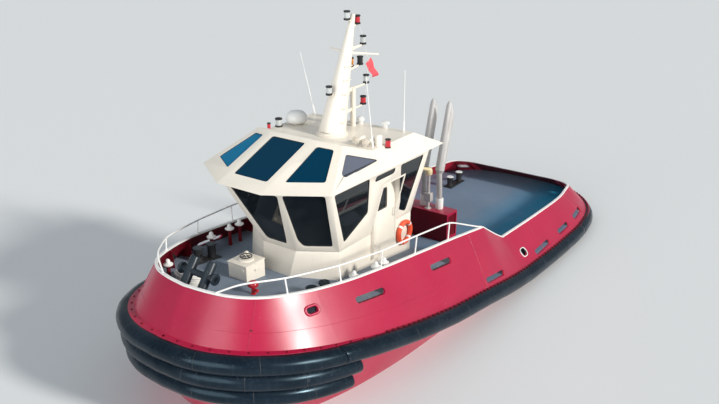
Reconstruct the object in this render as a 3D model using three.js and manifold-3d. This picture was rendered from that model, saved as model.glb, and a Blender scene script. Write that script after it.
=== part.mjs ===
// Harbour tugboat, about 20 m long, in millimetres.
// +X points to the bow, +Y to port, +Z up. The origin is on the waterline, on the centreline, amidships.
import * as THREE from 'three';
import { mergeVertices } from 'three/addons/utils/BufferGeometryUtils.js';
import Module from 'manifold-3d';

const wasm = await Module();
wasm.setup();

// Driving dimensions
const GAP = 0.3;
const BULWARK_THICKNESS = 60;
const WALL = 60;
const GLASS = 10;
const STATION_STEPS = 2;

// Half outline of the hull from stem to stern. Columns: flange x, y, z and cap x, y, z.
// The flange is the bolted rim above the top fender, and the cap is the bulwark's upper edge.
const STATIONS = [
  [9420, 0, 2440, 8800, 0, 3400],
  [9330, 850, 2430, 8700, 720, 3390],
  [9050, 1500, 2400, 8500, 1250, 3360],
  [8550, 2080, 2320, 8100, 1720, 3310],
  [7750, 2600, 2180, 7350, 2100, 3220],
  [6600, 3030, 1980, 6300, 2400, 3100],
  [4900, 3370, 1660, 4750, 2570, 2920],
  [2800, 3560, 1300, 2750, 2650, 2680],
  [600, 3640, 1000, 600, 2740, 2430],
  [-400, 3660, 850, -400, 2790, 2310],
  [-1760, 3650, 680, -1760, 2820, 1500],
  [-4500, 3650, 560, -4500, 2860, 1440],
  [-6600, 3580, 540, -6450, 2790, 1360],
  [-7950, 3300, 540, -7350, 2640, 1310],
  [-8900, 2750, 540, -8080, 2450, 1300],
  [-9550, 1950, 540, -8350, 1900, 1300],
  [-9850, 1000, 540, -8390, 1000, 1300],
  [-9920, 0, 540, -8400, 0, 1300],
];

// Hull below the flange. Columns: z, length scale of the bow and of the stern, beam scale forward and aft.
const HULL_LEVELS = [
  [0, 0.915, 0.94, 0.8, 0.9],
  [-750, 0.84, 0.86, 0.66, 0.82],
  [-1450, 0.7, 0.22, 0.42, 0.62],
  [-1750, 0.6, 0.12, 0.2, 0.3],
];
const BEAM_BLEND = [-3000, 2500];

// Decks: the raised foredeck follows the sheer and ends at the break, the after deck is lower
const BREAK_X = 1400;
const FOREDECK_Z0 = 1830;
const FOREDECK_SLOPE = 0.117;
const AFTERDECK_KINK_X = -2600;
const AFTERDECK_Z = 680;
const AFTERDECK_BREAK_Z = 1200;

function foredeckZ(x) {
  return FOREDECK_Z0 + FOREDECK_SLOPE * x;
}

function afterdeckZ(x) {
  const slope = (AFTERDECK_BREAK_Z - AFTERDECK_Z) / (BREAK_X - AFTERDECK_KINK_X);
  return x < AFTERDECK_KINK_X ? AFTERDECK_Z : AFTERDECK_Z + slope * (x - AFTERDECK_KINK_X);
}

// Paint and materials
const paint = (color, roughness = 0.45, metalness = 0.0) =>
  new THREE.MeshStandardMaterial({ color, roughness, metalness });
const MATERIALS = {
  crimson: paint(0xb8243f),
  deckGrey: paint(0x66737d, 0.8),
  cream: paint(0xf2e8da),
  white: paint(0xf3f3f0, 0.4),
  rubber: paint(0x1f242b, 0.7),
  black: paint(0x17191c, 0.5),
  glass: new THREE.MeshStandardMaterial({ color: 0x12343d, roughness: 0.1, transparent: true, opacity: 0.5 }),
  stainless: paint(0xb9b6b0, 0.3, 1.0),
  bronze: paint(0xa9793a, 0.35, 1.0),
  orange: paint(0xe8502c, 0.6),
  interior: paint(0x2f3439, 0.8),
  red: paint(0xc4202c, 0.4),
};

const tug = new THREE.Group();

function addPart(name, geometry, material, parent = tug) {
  const mesh = new THREE.Mesh(geometry, material);
  mesh.name = name;
  parent.add(mesh);
  return mesh;
}

// Conversion between three.js geometry and solids that can be joined and cut
function toSolid(geometry) {
  const plain = geometry.index ? geometry.toNonIndexed() : geometry.clone();
  plain.deleteAttribute('normal');
  plain.deleteAttribute('uv');
  const merged = mergeVertices(plain, 1e-3);
  const vertProperties = new Float32Array(merged.attributes.position.array);
  const kept = [];
  const index = merged.index.array;
  for (let i = 0; i < index.length; i += 3) {
    const [a, b, c] = [index[i], index[i + 1], index[i + 2]];
    if (a !== b && b !== c && c !== a) kept.push(a, b, c);
  }
  return new wasm.Manifold(new wasm.Mesh({ numProp: 3, vertProperties, triVerts: new Uint32Array(kept) }));
}

function toGeometry(solid) {
  const mesh = solid.getMesh();
  const geometry = new THREE.BufferGeometry();
  const positions = new Float32Array(mesh.numVert * 3);
  for (let i = 0; i < mesh.numVert; i++) {
    for (let k = 0; k < 3; k++) positions[3 * i + k] = mesh.vertProperties[mesh.numProp * i + k];
  }
  geometry.setAttribute('position', new THREE.BufferAttribute(positions, 3));
  geometry.setIndex(new THREE.BufferAttribute(new Uint32Array(mesh.triVerts), 1));
  return geometry;
}

function join(...solids) {
  return solids.reduce((sum, next) => sum.add(next));
}

function cut(solid, ...tools) {
  return tools.reduce((left, tool) => left.subtract(tool), solid);
}

// Simple solids in the boat's frame
function box(x0, x1, y0, y1, z0, z1) {
  const geometry = new THREE.BoxGeometry(x1 - x0, y1 - y0, z1 - z0);
  geometry.translate((x0 + x1) / 2, (y0 + y1) / 2, (z0 + z1) / 2);
  return toSolid(geometry);
}

function rodBetween(from, to, r0, r1 = r0, sides = 12) {
  const start = new THREE.Vector3(...from);
  const end = new THREE.Vector3(...to);
  const along = end.clone().sub(start);
  const geometry = new THREE.CylinderGeometry(r1, r0, along.length(), sides);
  geometry.applyQuaternion(new THREE.Quaternion().setFromUnitVectors(new THREE.Vector3(0, 1, 0), along.normalize()));
  geometry.translate((start.x + end.x) / 2, (start.y + end.y) / 2, (start.z + end.z) / 2);
  return toSolid(geometry);
}

function ball(centre, radius, sides = 12) {
  const geometry = new THREE.SphereGeometry(radius, sides, Math.round(sides / 2));
  geometry.translate(...centre);
  return toSolid(geometry);
}

// A round profile turned about a vertical axis at (x, y). Columns of the profile: radius, height.
function turned(profile, x, y, z, sides = 20) {
  const geometry = new THREE.LatheGeometry(profile.map(([r, h]) => new THREE.Vector2(r, h)), sides);
  geometry.rotateX(Math.PI / 2);
  geometry.translate(x, y, z);
  return toSolid(geometry);
}

// A flat outline in the X-Z plane, extruded across the boat from y0 to y1
function sideProfile(points, y0, y1) {
  const shape = new THREE.Shape(points.map(([x, z]) => new THREE.Vector2(x, z)));
  const geometry = new THREE.ExtrudeGeometry(shape, { depth: y1 - y0, bevelEnabled: false });
  geometry.rotateX(Math.PI / 2);
  geometry.translate(0, y1, 0);
  return toSolid(geometry);
}

// A bent pipe: straight rods with a ball at each bend
function pipeRun(points, radius, sides = 10) {
  const pieces = [];
  for (let i = 1; i < points.length; i++) pieces.push(rodBetween(points[i - 1], points[i], radius, radius, sides));
  for (let i = 1; i < points.length - 1; i++) pieces.push(ball(points[i], radius * 1.02, sides));
  return join(...pieces);
}

// A skin over a row of closed sections that all have the same number of points
function skin(sections, closed = false) {
  const positions = [];
  const triangle = (a, b, c) => positions.push(...a.toArray(), ...b.toArray(), ...c.toArray());
  const rows = sections.length;
  for (let i = 0; i < (closed ? rows : rows - 1); i++) {
    const here = sections[i];
    const next = sections[(i + 1) % rows];
    for (let j = 0; j < here.length; j++) {
      const k = (j + 1) % here.length;
      triangle(here[j], next[j], next[k]);
      triangle(here[j], next[k], here[k]);
    }
  }
  if (!closed) {
    for (const [section, flip] of [[sections[0], false], [sections[rows - 1], true]]) {
      for (let j = 1; j < section.length - 1; j++) {
        if (flip) triangle(section[0], section[j + 1], section[j]);
        else triangle(section[0], section[j], section[j + 1]);
      }
    }
  }
  const geometry = new THREE.BufferGeometry();
  geometry.setAttribute('position', new THREE.Float32BufferAttribute(positions, 3));
  return outward(geometry);
}

// Turns a closed surface so that its faces point out
function outward(geometry) {
  const p = geometry.attributes.position.array;
  let volume = 0;
  for (let i = 0; i < p.length; i += 9) {
    const [ax, ay, az, bx, by, bz, cx, cy, cz] = p.slice(i, i + 9);
    volume += ax * (by * cz - bz * cy) - ay * (bx * cz - bz * cx) + az * (bx * cy - by * cx);
  }
  if (volume < 0) {
    for (let i = 0; i < p.length; i += 9) {
      for (let k = 0; k < 3; k++) [p[i + 3 + k], p[i + 6 + k]] = [p[i + 6 + k], p[i + 3 + k]];
    }
  }
  return toSolid(geometry);
}

// The outline's samples, from stem to stern along the port side
function sampleStations() {
  const plan = (column) => new THREE.CatmullRomCurve3(
    STATIONS.map((row) => new THREE.Vector3(row[column], row[column + 1], 0)), false, 'centripetal');
  const curves = [plan(0), plan(3)];
  const count = (STATIONS.length - 1) * STATION_STEPS;
  const samples = [];
  for (let i = 0; i <= count; i++) {
    const place = i / STATION_STEPS;
    const row = Math.min(Math.floor(place), STATIONS.length - 2);
    const mix = place - row;
    const height = (column) => THREE.MathUtils.lerp(STATIONS[row][column], STATIONS[row + 1][column], mix);
    const [flange, cap] = curves.map((curve) => {
      const t = i / count;
      const point = curve.getPoint(t);
      const ahead = curve.getPoint(Math.min(t + 0.001, 1));
      const behind = curve.getPoint(Math.max(t - 0.001, 0));
      const tangent = ahead.sub(behind).normalize();
      const out = new THREE.Vector3(-tangent.y, tangent.x, 0).multiplyScalar(-1);
      if (i === 0) out.set(1, 0, 0);
      if (i === count) out.set(-1, 0, 0);
      if (i > 0 && i < count && out.y < 0) out.negate();
      return { point, out };
    });
    flange.point.z = height(2);
    cap.point.z = height(5);
    if (i === 0 || i === count) {
      flange.point.y = 0;
      cap.point.y = 0;
    }
    samples.push({ flange: flange.point, flangeOut: flange.out, cap: cap.point, capOut: cap.out });
  }
  return samples;
}

const SAMPLES = sampleStations();
const mirrored = (v) => new THREE.Vector3(v.x, -v.y, v.z);

// The whole ring of samples, round the port side and back along starboard
function ring(point) {
  const port = SAMPLES.map(point);
  const starboard = SAMPLES.slice(1, -1).map(point).map(mirrored).reverse();
  return [...port, ...starboard];
}

// A solid that fills the outline between a lower and an upper row of loops
function outlineSolid(loops) {
  const positions = [];
  const triangle = (a, b, c) => positions.push(...a.toArray(), ...b.toArray(), ...c.toArray());
  const total = loops[0].length;
  for (let i = 0; i < loops.length - 1; i++) {
    for (let j = 0; j < total; j++) {
      const k = (j + 1) % total;
      triangle(loops[i][j], loops[i][k], loops[i + 1][j]);
      triangle(loops[i][k], loops[i + 1][k], loops[i + 1][j]);
    }
  }
  const last = SAMPLES.length - 1;
  const port = (loop, i) => loop[i];
  const starboard = (loop, i) => loop[i === 0 || i === last ? i : total - i];
  for (const [loop, up] of [[loops[0], false], [loops[loops.length - 1], true]]) {
    for (let i = 0; i < last; i++) {
      const quad = [port(loop, i), port(loop, i + 1), starboard(loop, i + 1), starboard(loop, i)];
      if (!up) quad.reverse();
      triangle(quad[0], quad[1], quad[2]);
      triangle(quad[0], quad[2], quad[3]);
    }
  }
  const geometry = new THREE.BufferGeometry();
  geometry.setAttribute('position', new THREE.Float32BufferAttribute(positions, 3));
  return outward(geometry);
}

function hullLevelPoint(sample, [z, bow, stern, beamForward, beamAft]) {
  const { x, y } = sample.flange;
  const mix = THREE.MathUtils.smoothstep(x, ...BEAM_BLEND);
  const beam = THREE.MathUtils.lerp(beamAft, beamForward, mix);
  return new THREE.Vector3(x * (x > 0 ? bow : stern), y * beam, z);
}

// Round the bow the hull stands almost upright behind the fenders, down to this share of the flange's height
const FENDER_FOOT_SHARE = 0.47;
const FENDER_FOOT_INSET = 120;
const BOW_BLEND = [5500, 8200];
const bowShare = (s) => THREE.MathUtils.smoothstep(s.flange.x, ...BOW_BLEND);

function straightSide(s, z) {
  const waterline = hullLevelPoint(s, HULL_LEVELS[0]);
  const mix = THREE.MathUtils.clamp((s.flange.z - z) / (s.flange.z - waterline.z), 0, 1);
  const point = s.flange.clone().lerp(waterline, mix);
  point.z = z;
  return point;
}

function fenderFoot(s) {
  const z = s.flange.z * FENDER_FOOT_SHARE;
  const upright = s.flange.clone().addScaledVector(s.flangeOut, -FENDER_FOOT_INSET);
  upright.z = z;
  return straightSide(s, z).lerp(upright, bowShare(s));
}

const insideFlange = (depth) => (s) => s.flange.clone().addScaledVector(s.flangeOut, -depth);
const insideCap = (depth) => (s) => s.cap.clone().addScaledVector(s.capOut, -depth);

// Hull: one closed body up to the flange, with the skeg below it
const SKEG_HALF = 110;
const SKEG_POINTS = [[6000, -1400], [4700, -2900], [-3600, -2900], [-4900, -1200]];
const THRUSTER_X = -6700;
const THRUSTER_Y = 1600;
const HEADBOX_RADIUS = 520;
const HEADBOX_BOTTOM = -1120;

function makeHull() {
  const loops = [...HULL_LEVELS].reverse().map((level) => ring((s) => hullLevelPoint(s, level)));
  loops.push(ring(fenderFoot), ring((s) => s.flange.clone()));
  let hull = outlineSolid(loops);
  hull = join(hull, sideProfile(SKEG_POINTS, -SKEG_HALF, SKEG_HALF));
  for (const side of [1, -1]) {
    hull = join(hull, rodBetween([THRUSTER_X, side * THRUSTER_Y, -500],
      [THRUSTER_X, side * THRUSTER_Y, HEADBOX_BOTTOM], HEADBOX_RADIUS, HEADBOX_RADIUS, 24));
  }
  return hull;
}

const hull = makeHull();
addPart('hull', toGeometry(hull), MATERIALS.crimson);

// The space inside the bulwark, from the flange up, which the decks fill
const lifted = (z) => (v) => new THREE.Vector3(v.x, v.y, v.z + z);
const wellSolid = outlineSolid([
  ring((s) => lifted(GAP)(insideFlange(BULWARK_THICKNESS + GAP)(s))),
  ring(insideCap(BULWARK_THICKNESS + GAP)),
]);
const FAR = 12000;
const foredeckPrism = sideProfile([[BREAK_X, -FAR], [FAR, -FAR], [FAR, foredeckZ(FAR)],
  [BREAK_X, foredeckZ(BREAK_X)]], -FAR, FAR);
const afterdeckPrism = sideProfile([[-FAR, -FAR], [BREAK_X - GAP, -FAR], [BREAK_X - GAP, AFTERDECK_BREAK_Z],
  [AFTERDECK_KINK_X, AFTERDECK_Z], [-FAR, AFTERDECK_Z]], -FAR, FAR);

// Small mushroom vents along the foredeck's sides. Columns: x, y.
const VENTS = [[7450, 1820], [5750, 2330], [5000, 2400], [4550, 2420]];
const VENT_SIDES = 10;
const VENT_PROFILE = [[0, 0], [60, 0], [60, 330], [120, 350], [120, 400], [85, 440], [0, 450]];

function makeForedeck() {
  let deck = wellSolid.intersect(foredeckPrism);
  for (const [x, y] of VENTS) {
    for (const side of [1, -1]) deck = join(deck, turned(VENT_PROFILE, x, side * y, foredeckZ(x) - 60, VENT_SIDES));
  }
  return deck;
}

addPart('deck_forward', toGeometry(makeForedeck()), MATERIALS.deckGrey);
addPart('deck_aft', toGeometry(wellSolid.intersect(afterdeckPrism)), MATERIALS.deckGrey);

// Bulwark: a leaning wall round the deck, cut by freeing slots and fairleads
function makeBulwark() {
  const section = (s) => [
    lifted(GAP)(s.flange),
    s.cap.clone(),
    insideCap(BULWARK_THICKNESS)(s),
    lifted(GAP)(insideFlange(BULWARK_THICKNESS)(s)),
  ];
  const port = SAMPLES.map(section);
  const starboard = SAMPLES.slice(1, -1).map((s) => section(s).map(mirrored)).reverse();
  return skin([...port, ...starboard], true);
}

// Freeing slots. Columns: centre x, centre z, length, height, slope along X.
const SLOTS = [
  [5420, 2570, 1050, 150, 0.117],
  [2320, 2230, 1000, 150, 0.117],
  [100, 1115, 1100, 150, 0.13],
  [-3400, 755, 1150, 140, 0],
  [-5300, 755, 950, 140, 0],
  [-6880, 755, 1000, 140, 0],
];
// Round fairleads. Columns: centre x, centre z, half length, half height.
const FAIRLEADS = [
  [7180, 2840, 140, 85],
  [-2250, 960, 110, 110],
];

// Oblong fairleads in the quarters, one on each side, cut along the boat
const QUARTER_FAIRLEAD = { y: 2300, z: 960, length: 360, height: 120 };
const QUARTER_CUT = [-10900, -7900];

function slotExtrusion(length, height, depth) {
  const shape = new THREE.Shape();
  const r = height / 2;
  const reach = length / 2 - r;
  shape.absarc(reach, 0, r, -Math.PI / 2, Math.PI / 2, false);
  shape.absarc(-reach, 0, r, Math.PI / 2, (3 * Math.PI) / 2, false);
  return new THREE.ExtrudeGeometry(shape, { depth, bevelEnabled: false, curveSegments: 3 });
}

function slotCutter(x, z, length, height, slope) {
  const geometry = slotExtrusion(length, height, 2 * FAR);
  geometry.rotateX(Math.PI / 2);
  geometry.rotateY(-Math.atan(slope));
  geometry.translate(x, FAR, z);
  return toSolid(geometry);
}

function quarterCutter(side) {
  const { y, z, length, height } = QUARTER_FAIRLEAD;
  const geometry = slotExtrusion(length, height, QUARTER_CUT[1] - QUARTER_CUT[0]);
  geometry.rotateX(Math.PI / 2);
  geometry.rotateZ(Math.PI / 2);
  geometry.translate(QUARTER_CUT[0], side * y, z);
  return toSolid(geometry);
}

const openings = [
  ...SLOTS.map((row) => slotCutter(...row)),
  ...FAIRLEADS.map(([x, z, halfLength, halfHeight]) => slotCutter(x, z, 2 * halfLength, 2 * halfHeight, 0)),
  quarterCutter(1),
  quarterCutter(-1),
];
const bulwark = cut(makeBulwark(), ...openings);

// The bulwark's plates meet at these places along the boat. Columns: name, x range, side.
const BOW_JOINT = 6900;
const WAIST_JOINT = -900;
const STERN_JOINT = -7600;
const BULWARK_PLATES = [
  ['bulwark_bow', BOW_JOINT + GAP, FAR, -FAR, FAR],
  ['bulwark_forward_port', WAIST_JOINT + GAP, BOW_JOINT, 0, FAR],
  ['bulwark_forward_starboard', WAIST_JOINT + GAP, BOW_JOINT, -FAR, 0],
  ['bulwark_after_port', STERN_JOINT + GAP, WAIST_JOINT, 0, FAR],
  ['bulwark_after_starboard', STERN_JOINT + GAP, WAIST_JOINT, -FAR, 0],
  ['bulwark_stern', -FAR, STERN_JOINT, -FAR, FAR],
];
for (const [name, x0, x1, y0, y1] of BULWARK_PLATES) {
  addPart(name, toGeometry(bulwark.intersect(box(x0, x1, y0, y1, -FAR, FAR))), MATERIALS.crimson);
}

// Cap rail: a flat bar on top of the bulwark, all the way round
const CAP_HALF_WIDTH = 50;
const CAP_HEIGHT = 45;
const CAP_EDGE = 8;

function makeCapRail() {
  const section = (s) => {
    const overhang = CAP_HALF_WIDTH - BULWARK_THICKNESS / 2;
    const outer = insideCap(-overhang)(s);
    const inner = insideCap(BULWARK_THICKNESS + overhang)(s);
    return [lifted(GAP)(s.cap), lifted(GAP)(insideCap(BULWARK_THICKNESS)(s)), lifted(CAP_EDGE)(inner),
      lifted(CAP_HEIGHT)(inner), lifted(CAP_HEIGHT)(outer), lifted(CAP_EDGE)(outer)];
  };
  const port = SAMPLES.map(section);
  const starboard = SAMPLES.slice(1, -1).map((s) => section(s).map(mirrored)).reverse();
  return skin([...port, ...starboard], true);
}

addPart('cap_rail', toGeometry(makeCapRail()), MATERIALS.white);

// Fenders: round rubber tiers. The top one runs all the way round, the lower two only round the bow.
const FENDER_RADIUS = 235;
const FENDER_STANDOFF = 0.85;
const FENDER_DROP = 210;
const TIER_PITCH = 420;
const BOW_STANDOFFS = [212, 155, 80];
const FENDER_SIDES = 8;
const FENDER_BOW_JOINT = 7080;
const FENDER_STERN_JOINT = -6400;
const LOWER_TIER_ENDS = [6500, 6650];

function fenderCentre(tier) {
  return (s) => {
    const z = s.flange.z - FENDER_DROP - tier * TIER_PITCH;
    const side = straightSide(s, z).addScaledVector(s.flangeOut, FENDER_RADIUS * FENDER_STANDOFF);
    const bow = s.flange.clone().addScaledVector(s.flangeOut, BOW_STANDOFFS[tier]);
    bow.z = z;
    return side.lerp(bow, bowShare(s));
  };
}

function fenderRing(tier, radius = FENDER_RADIUS) {
  const centre = fenderCentre(tier);
  const section = (s) => {
    const middle = centre(s);
    const points = [];
    for (let i = 0; i < FENDER_SIDES; i++) {
      const angle = (2 * Math.PI * i) / FENDER_SIDES;
      const point = middle.clone().addScaledVector(s.flangeOut, radius * Math.cos(angle));
      point.z += radius * Math.sin(angle);
      points.push(point);
    }
    return points;
  };
  const port = SAMPLES.map(section);
  const starboard = SAMPLES.slice(1, -1).map((s) => section(s).map(mirrored)).reverse();
  return skin([...port, ...starboard], true);
}

// The hull grown by a hair, so that a fender cut by it keeps a gap
function grownHull() {
  const grow = (s, v) => v.clone().addScaledVector(s.flangeOut, GAP);
  const loops = [...HULL_LEVELS].reverse().map((level) => ring((s) => grow(s, hullLevelPoint(s, level))));
  loops.push(ring((s) => grow(s, fenderFoot(s))));
  loops.push(ring((s) => grow(s, s.flange)));
  loops.push(ring((s) => grow(s, s.flange).add(new THREE.Vector3(0, 0, FENDER_RADIUS))));
  return outlineSolid(loops);
}

const fenderClearance = grownHull();
const tierClearance = (tier) => fenderRing(tier, FENDER_RADIUS + GAP);
const topFender = cut(fenderRing(0), fenderClearance);
const middleFender = cut(fenderRing(1), fenderClearance, tierClearance(0));
const lowerFender = cut(fenderRing(2), fenderClearance, tierClearance(1));
const FENDER_PIECES = [
  ['fender_bow_upper', topFender, FENDER_BOW_JOINT + GAP, FAR, -FAR, FAR],
  ['fender_port', topFender, FENDER_STERN_JOINT + GAP, FENDER_BOW_JOINT, 0, FAR],
  ['fender_starboard', topFender, FENDER_STERN_JOINT + GAP, FENDER_BOW_JOINT, -FAR, 0],
  ['fender_stern', topFender, -FAR, FENDER_STERN_JOINT, -FAR, FAR],
  ['fender_bow_middle', middleFender, LOWER_TIER_ENDS[0], FAR, -FAR, FAR],
  ['fender_bow_lower', lowerFender, LOWER_TIER_ENDS[1], FAR, -FAR, FAR],
];
for (const [name, solid, x0, x1, y0, y1] of FENDER_PIECES) {
  addPart(name, toGeometry(solid.intersect(box(x0, x1, y0, y1, -FAR, FAR))), MATERIALS.rubber);
}

// Pipe rails on the cap. Columns: x, y, z of the rail; every row stands on a post of its own.
const RAIL_POSTS = [
  [8370, 1350, 3680],
  [7560, 1940, 3660],
  [6130, 2350, 3520],
  [4660, 2570, 3410],
  [3160, 2650, 3300],
  [1510, 2690, 3120],
];
const RAIL_ENDS = [[8590, 760, 3445], [-330, 2750, 2390]];
const RAIL_RADIUS = 21;
const POST_RADIUS = 19;
const RAIL_END_RISE = 55;

// The cap rail's upper face moved up by a hair, as a solid that cuts the feet of the posts flush
function makeRailSeat() {
  const overhang = CAP_HALF_WIDTH - BULWARK_THICKNESS / 2;
  const section = (s) => {
    const outer = insideCap(-overhang)(s);
    const inner = insideCap(BULWARK_THICKNESS + overhang)(s);
    return [lifted(-300)(inner), lifted(CAP_HEIGHT + GAP)(inner), lifted(CAP_HEIGHT + GAP)(outer),
      lifted(-300)(outer)];
  };
  const port = SAMPLES.map(section);
  const starboard = SAMPLES.slice(1, -1).map((s) => section(s).map(mirrored)).reverse();
  return skin([...port, ...starboard], true);
}

const railSeat = makeRailSeat();

function capTop(x) {
  const s = SAMPLES.find((sample, i) => SAMPLES[i + 1] && SAMPLES[i + 1].cap.x <= x);
  const next = SAMPLES[SAMPLES.indexOf(s) + 1];
  const mix = (s.cap.x - x) / (s.cap.x - next.cap.x);
  return insideCap(BULWARK_THICKNESS / 2)({
    cap: s.cap.clone().lerp(next.cap, mix),
    capOut: s.capOut.clone().lerp(next.capOut, mix),
  });
}

function makeHandrail(side) {
  const posts = RAIL_POSTS.map(([x, y, z]) => [x, side * y, z]);
  const [forward, aft] = RAIL_ENDS.map(([x]) => {
    const foot = capTop(x);
    return [foot.x, side * foot.y, foot.z + CAP_HEIGHT + RAIL_END_RISE];
  });
  const tops = [forward, ...posts, aft];
  const rail = pipeRun(tops, RAIL_RADIUS, 6);
  const uprights = tops.map((top) => {
    const foot = capTop(top[0]);
    return rodBetween([foot.x, side * foot.y, foot.z + 10], top, POST_RADIUS, POST_RADIUS, 6);
  });
  return cut(join(rail, ...uprights), railSeat);
}

addPart('handrail_port', toGeometry(makeHandrail(1)), MATERIALS.white);
addPart('handrail_starboard', toGeometry(makeHandrail(-1)), MATERIALS.white);

// Solids bounded by flat facets. Each facet is three points on its plane; `inside` is a point in the solid.
const BLOCK = 14000;

function beyond(facet, inside, depth) {
  const [a, b, c] = facet.map((p) => new THREE.Vector3(...p));
  const normal = b.clone().sub(a).cross(c.clone().sub(a)).normalize();
  if (normal.dot(new THREE.Vector3(...inside).sub(a)) > 0) normal.negate();
  const geometry = new THREE.BoxGeometry(BLOCK, BLOCK, BLOCK / 2);
  geometry.translate(0, 0, BLOCK / 4 - depth);
  geometry.applyQuaternion(new THREE.Quaternion().setFromUnitVectors(new THREE.Vector3(0, 0, 1), normal));
  geometry.translate(a.x, a.y, a.z);
  return toSolid(geometry);
}

function faceted(facets, inside, depth, z0, z1) {
  return cut(box(-2000, 9000, -4000, 4000, z0, z1), ...facets.map((facet) => beyond(facet, inside, depth)));
}

const flip = ([x, y, z]) => [x, -y, z];
const both = (facet) => [facet, facet.map(flip)];

// A pane's outline with rounded corners, as a prism through the wall
function paneCutter(points, radius = 70, reach = 200) {
  const corners = points.map((p) => new THREE.Vector3(...p));
  const count = corners.length;
  const outline = [];
  for (let i = 0; i < count; i++) {
    const here = corners[i];
    const before = corners[(i + count - 1) % count].clone().sub(here).normalize();
    const after = corners[(i + 1) % count].clone().sub(here).normalize();
    for (const t of [0, 0.5, 1]) {
      outline.push(here.clone()
        .addScaledVector(before, radius * (1 - t) ** 2)
        .addScaledVector(after, radius * t ** 2));
    }
  }
  const normal = corners[1].clone().sub(corners[0]).cross(corners[2].clone().sub(corners[0])).normalize();
  return skin([-reach, reach].map((d) => outline.map((p) => p.clone().addScaledVector(normal, d))));
}

// Wheelhouse. The lower wall is the coaming, the raked band above holds the windows, the visor is the top.
const FLOOR_Z = 2460;
const SILL_Z = 3180;
const BROW_Z = 5150;
const ROOF_Z = 5630;
const WALL_Y = 1470;
const HOUSE_AFT_X = 1600;
const HOUSE_CENTRE = [3500, 0, 3000];

const COAMING_FACETS = [
  [[5690, 430, 2500], [5690, -430, 2500], [5540, 550, 3180]],
  ...both([[5690, 430, 2500], [5540, 550, 3180], [4950, 1470, 3180]]),
  ...both([[4950, 1470, 3180], [1600, 1470, 3180], [1600, 1470, 2000]]),
  [[HOUSE_AFT_X, 0, 2000], [HOUSE_AFT_X, 100, 2000], [HOUSE_AFT_X, 0, 3000]],
];
const BAND_FACETS = [
  [[5540, 550, 3180], [5540, -550, 3180], [6500, 1000, 5100]],
  ...both([[5540, 550, 3180], [4950, 1470, 3180], [6500, 1000, 5100]]),
  ...both([[4950, 1470, 3180], [1600, 1470, 3180], [1600, 1970, 5100]]),
  [[1600, 1470, 3180], [1600, -1470, 3180], [1520, 0, 5100]],
];

// Doors: a frame stands upright in the raked wall on each side
const DOOR_X = [2550, 3500];
const DOOR_Z = [2500, 4600];
const DOOR_FACE_Y = 1550;
const DOOR_THICKNESS = 60;
const DOOR_CLEARANCE = 9;
const HINGE = { x: 3490, y: 1562, radius: 9, length: 80, heights: [2850, 4170] };
const FRAME_MARGIN = 60;
const FRAME_X = [DOOR_X[0] - FRAME_MARGIN, DOOR_X[1] + FRAME_MARGIN];
const FRAME_Z = [FLOOR_Z + GAP, DOOR_Z[1] + FRAME_MARGIN];
const FRAME_INNER_Y = 1400;
const DOOR_WINDOW = [2950, 3380, 3790, 4350];
const RAKE = 0.26;

function bothSides(make) {
  return join(make(1), make(-1));
}

const wallYAt = (z) => WALL_Y + RAKE * (z - SILL_Z);

function yRange(side, y0, y1) {
  return side > 0 ? [y0, y1] : [-y1, -y0];
}

// A flat outline in the Y-Z plane, extruded along the boat
function crossProfile(points, x0, x1) {
  const shape = new THREE.Shape(points.map(([y, z]) => new THREE.Vector2(y, z)));
  const geometry = new THREE.ExtrudeGeometry(shape, { depth: x1 - x0, bevelEnabled: false });
  geometry.rotateX(Math.PI / 2);
  geometry.rotateZ(Math.PI / 2);
  geometry.translate(x0, 0, 0);
  return toSolid(geometry);
}

function makeDoorFrame(side) {
  const faceY = DOOR_FACE_Y + 10;
  const bendZ = SILL_Z + (faceY - WALL_Y) / RAKE;
  const profile = [
    [FRAME_INNER_Y, FRAME_Z[0]],
    [faceY, FRAME_Z[0]],
    [faceY, bendZ],
    [wallYAt(FRAME_Z[1]), FRAME_Z[1]],
    [FRAME_INNER_Y, FRAME_Z[1]],
  ].map(([y, z]) => [side * y, z]);
  const stopY = DOOR_FACE_Y - DOOR_THICKNESS - DOOR_CLEARANCE;
  const c = DOOR_CLEARANCE;
  const recess = box(DOOR_X[0] - c, DOOR_X[1] + c, ...yRange(side, stopY, 3000), DOOR_Z[0] - c, DOOR_Z[1] + c);
  const passage = box(DOOR_X[0] + 45, DOOR_X[1] - 45, ...yRange(side, 1000, 3000), DOOR_Z[0] + 45, DOOR_Z[1] - 45);
  const knuckles = HINGE.heights.flatMap((z) => [-1, 1].map((end) => hingeKnuckle(side, z + end * HINGE.length, true)));
  return join(cut(crossProfile(profile, ...FRAME_X), recess, passage), ...knuckles);
}

// One barrel of a door hinge with its leaf: the frame's barrels lie above and below the door's
function hingeKnuckle(side, z, onFrame) {
  const half = HINGE.length / 2 - GAP / 2;
  const { x, y, radius } = HINGE;
  const barrel = rodBetween([x, side * y, z - half], [x, side * y, z + half], radius, radius, 10);
  const leaf = onFrame
    ? box(x, x + 32, ...yRange(side, y - 3, y + 6), z - half, z + half)
    : box(x - 8, x + 8, ...yRange(side, DOOR_FACE_Y - 5, y), z - half, z + half);
  return join(barrel, leaf);
}

const doorNotch = (side, grow) => box(FRAME_X[0] - grow, FRAME_X[1] + grow,
  ...yRange(side, FRAME_INNER_Y - 200, 3000), FLOOR_Z, FRAME_Z[1] + grow);

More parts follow.
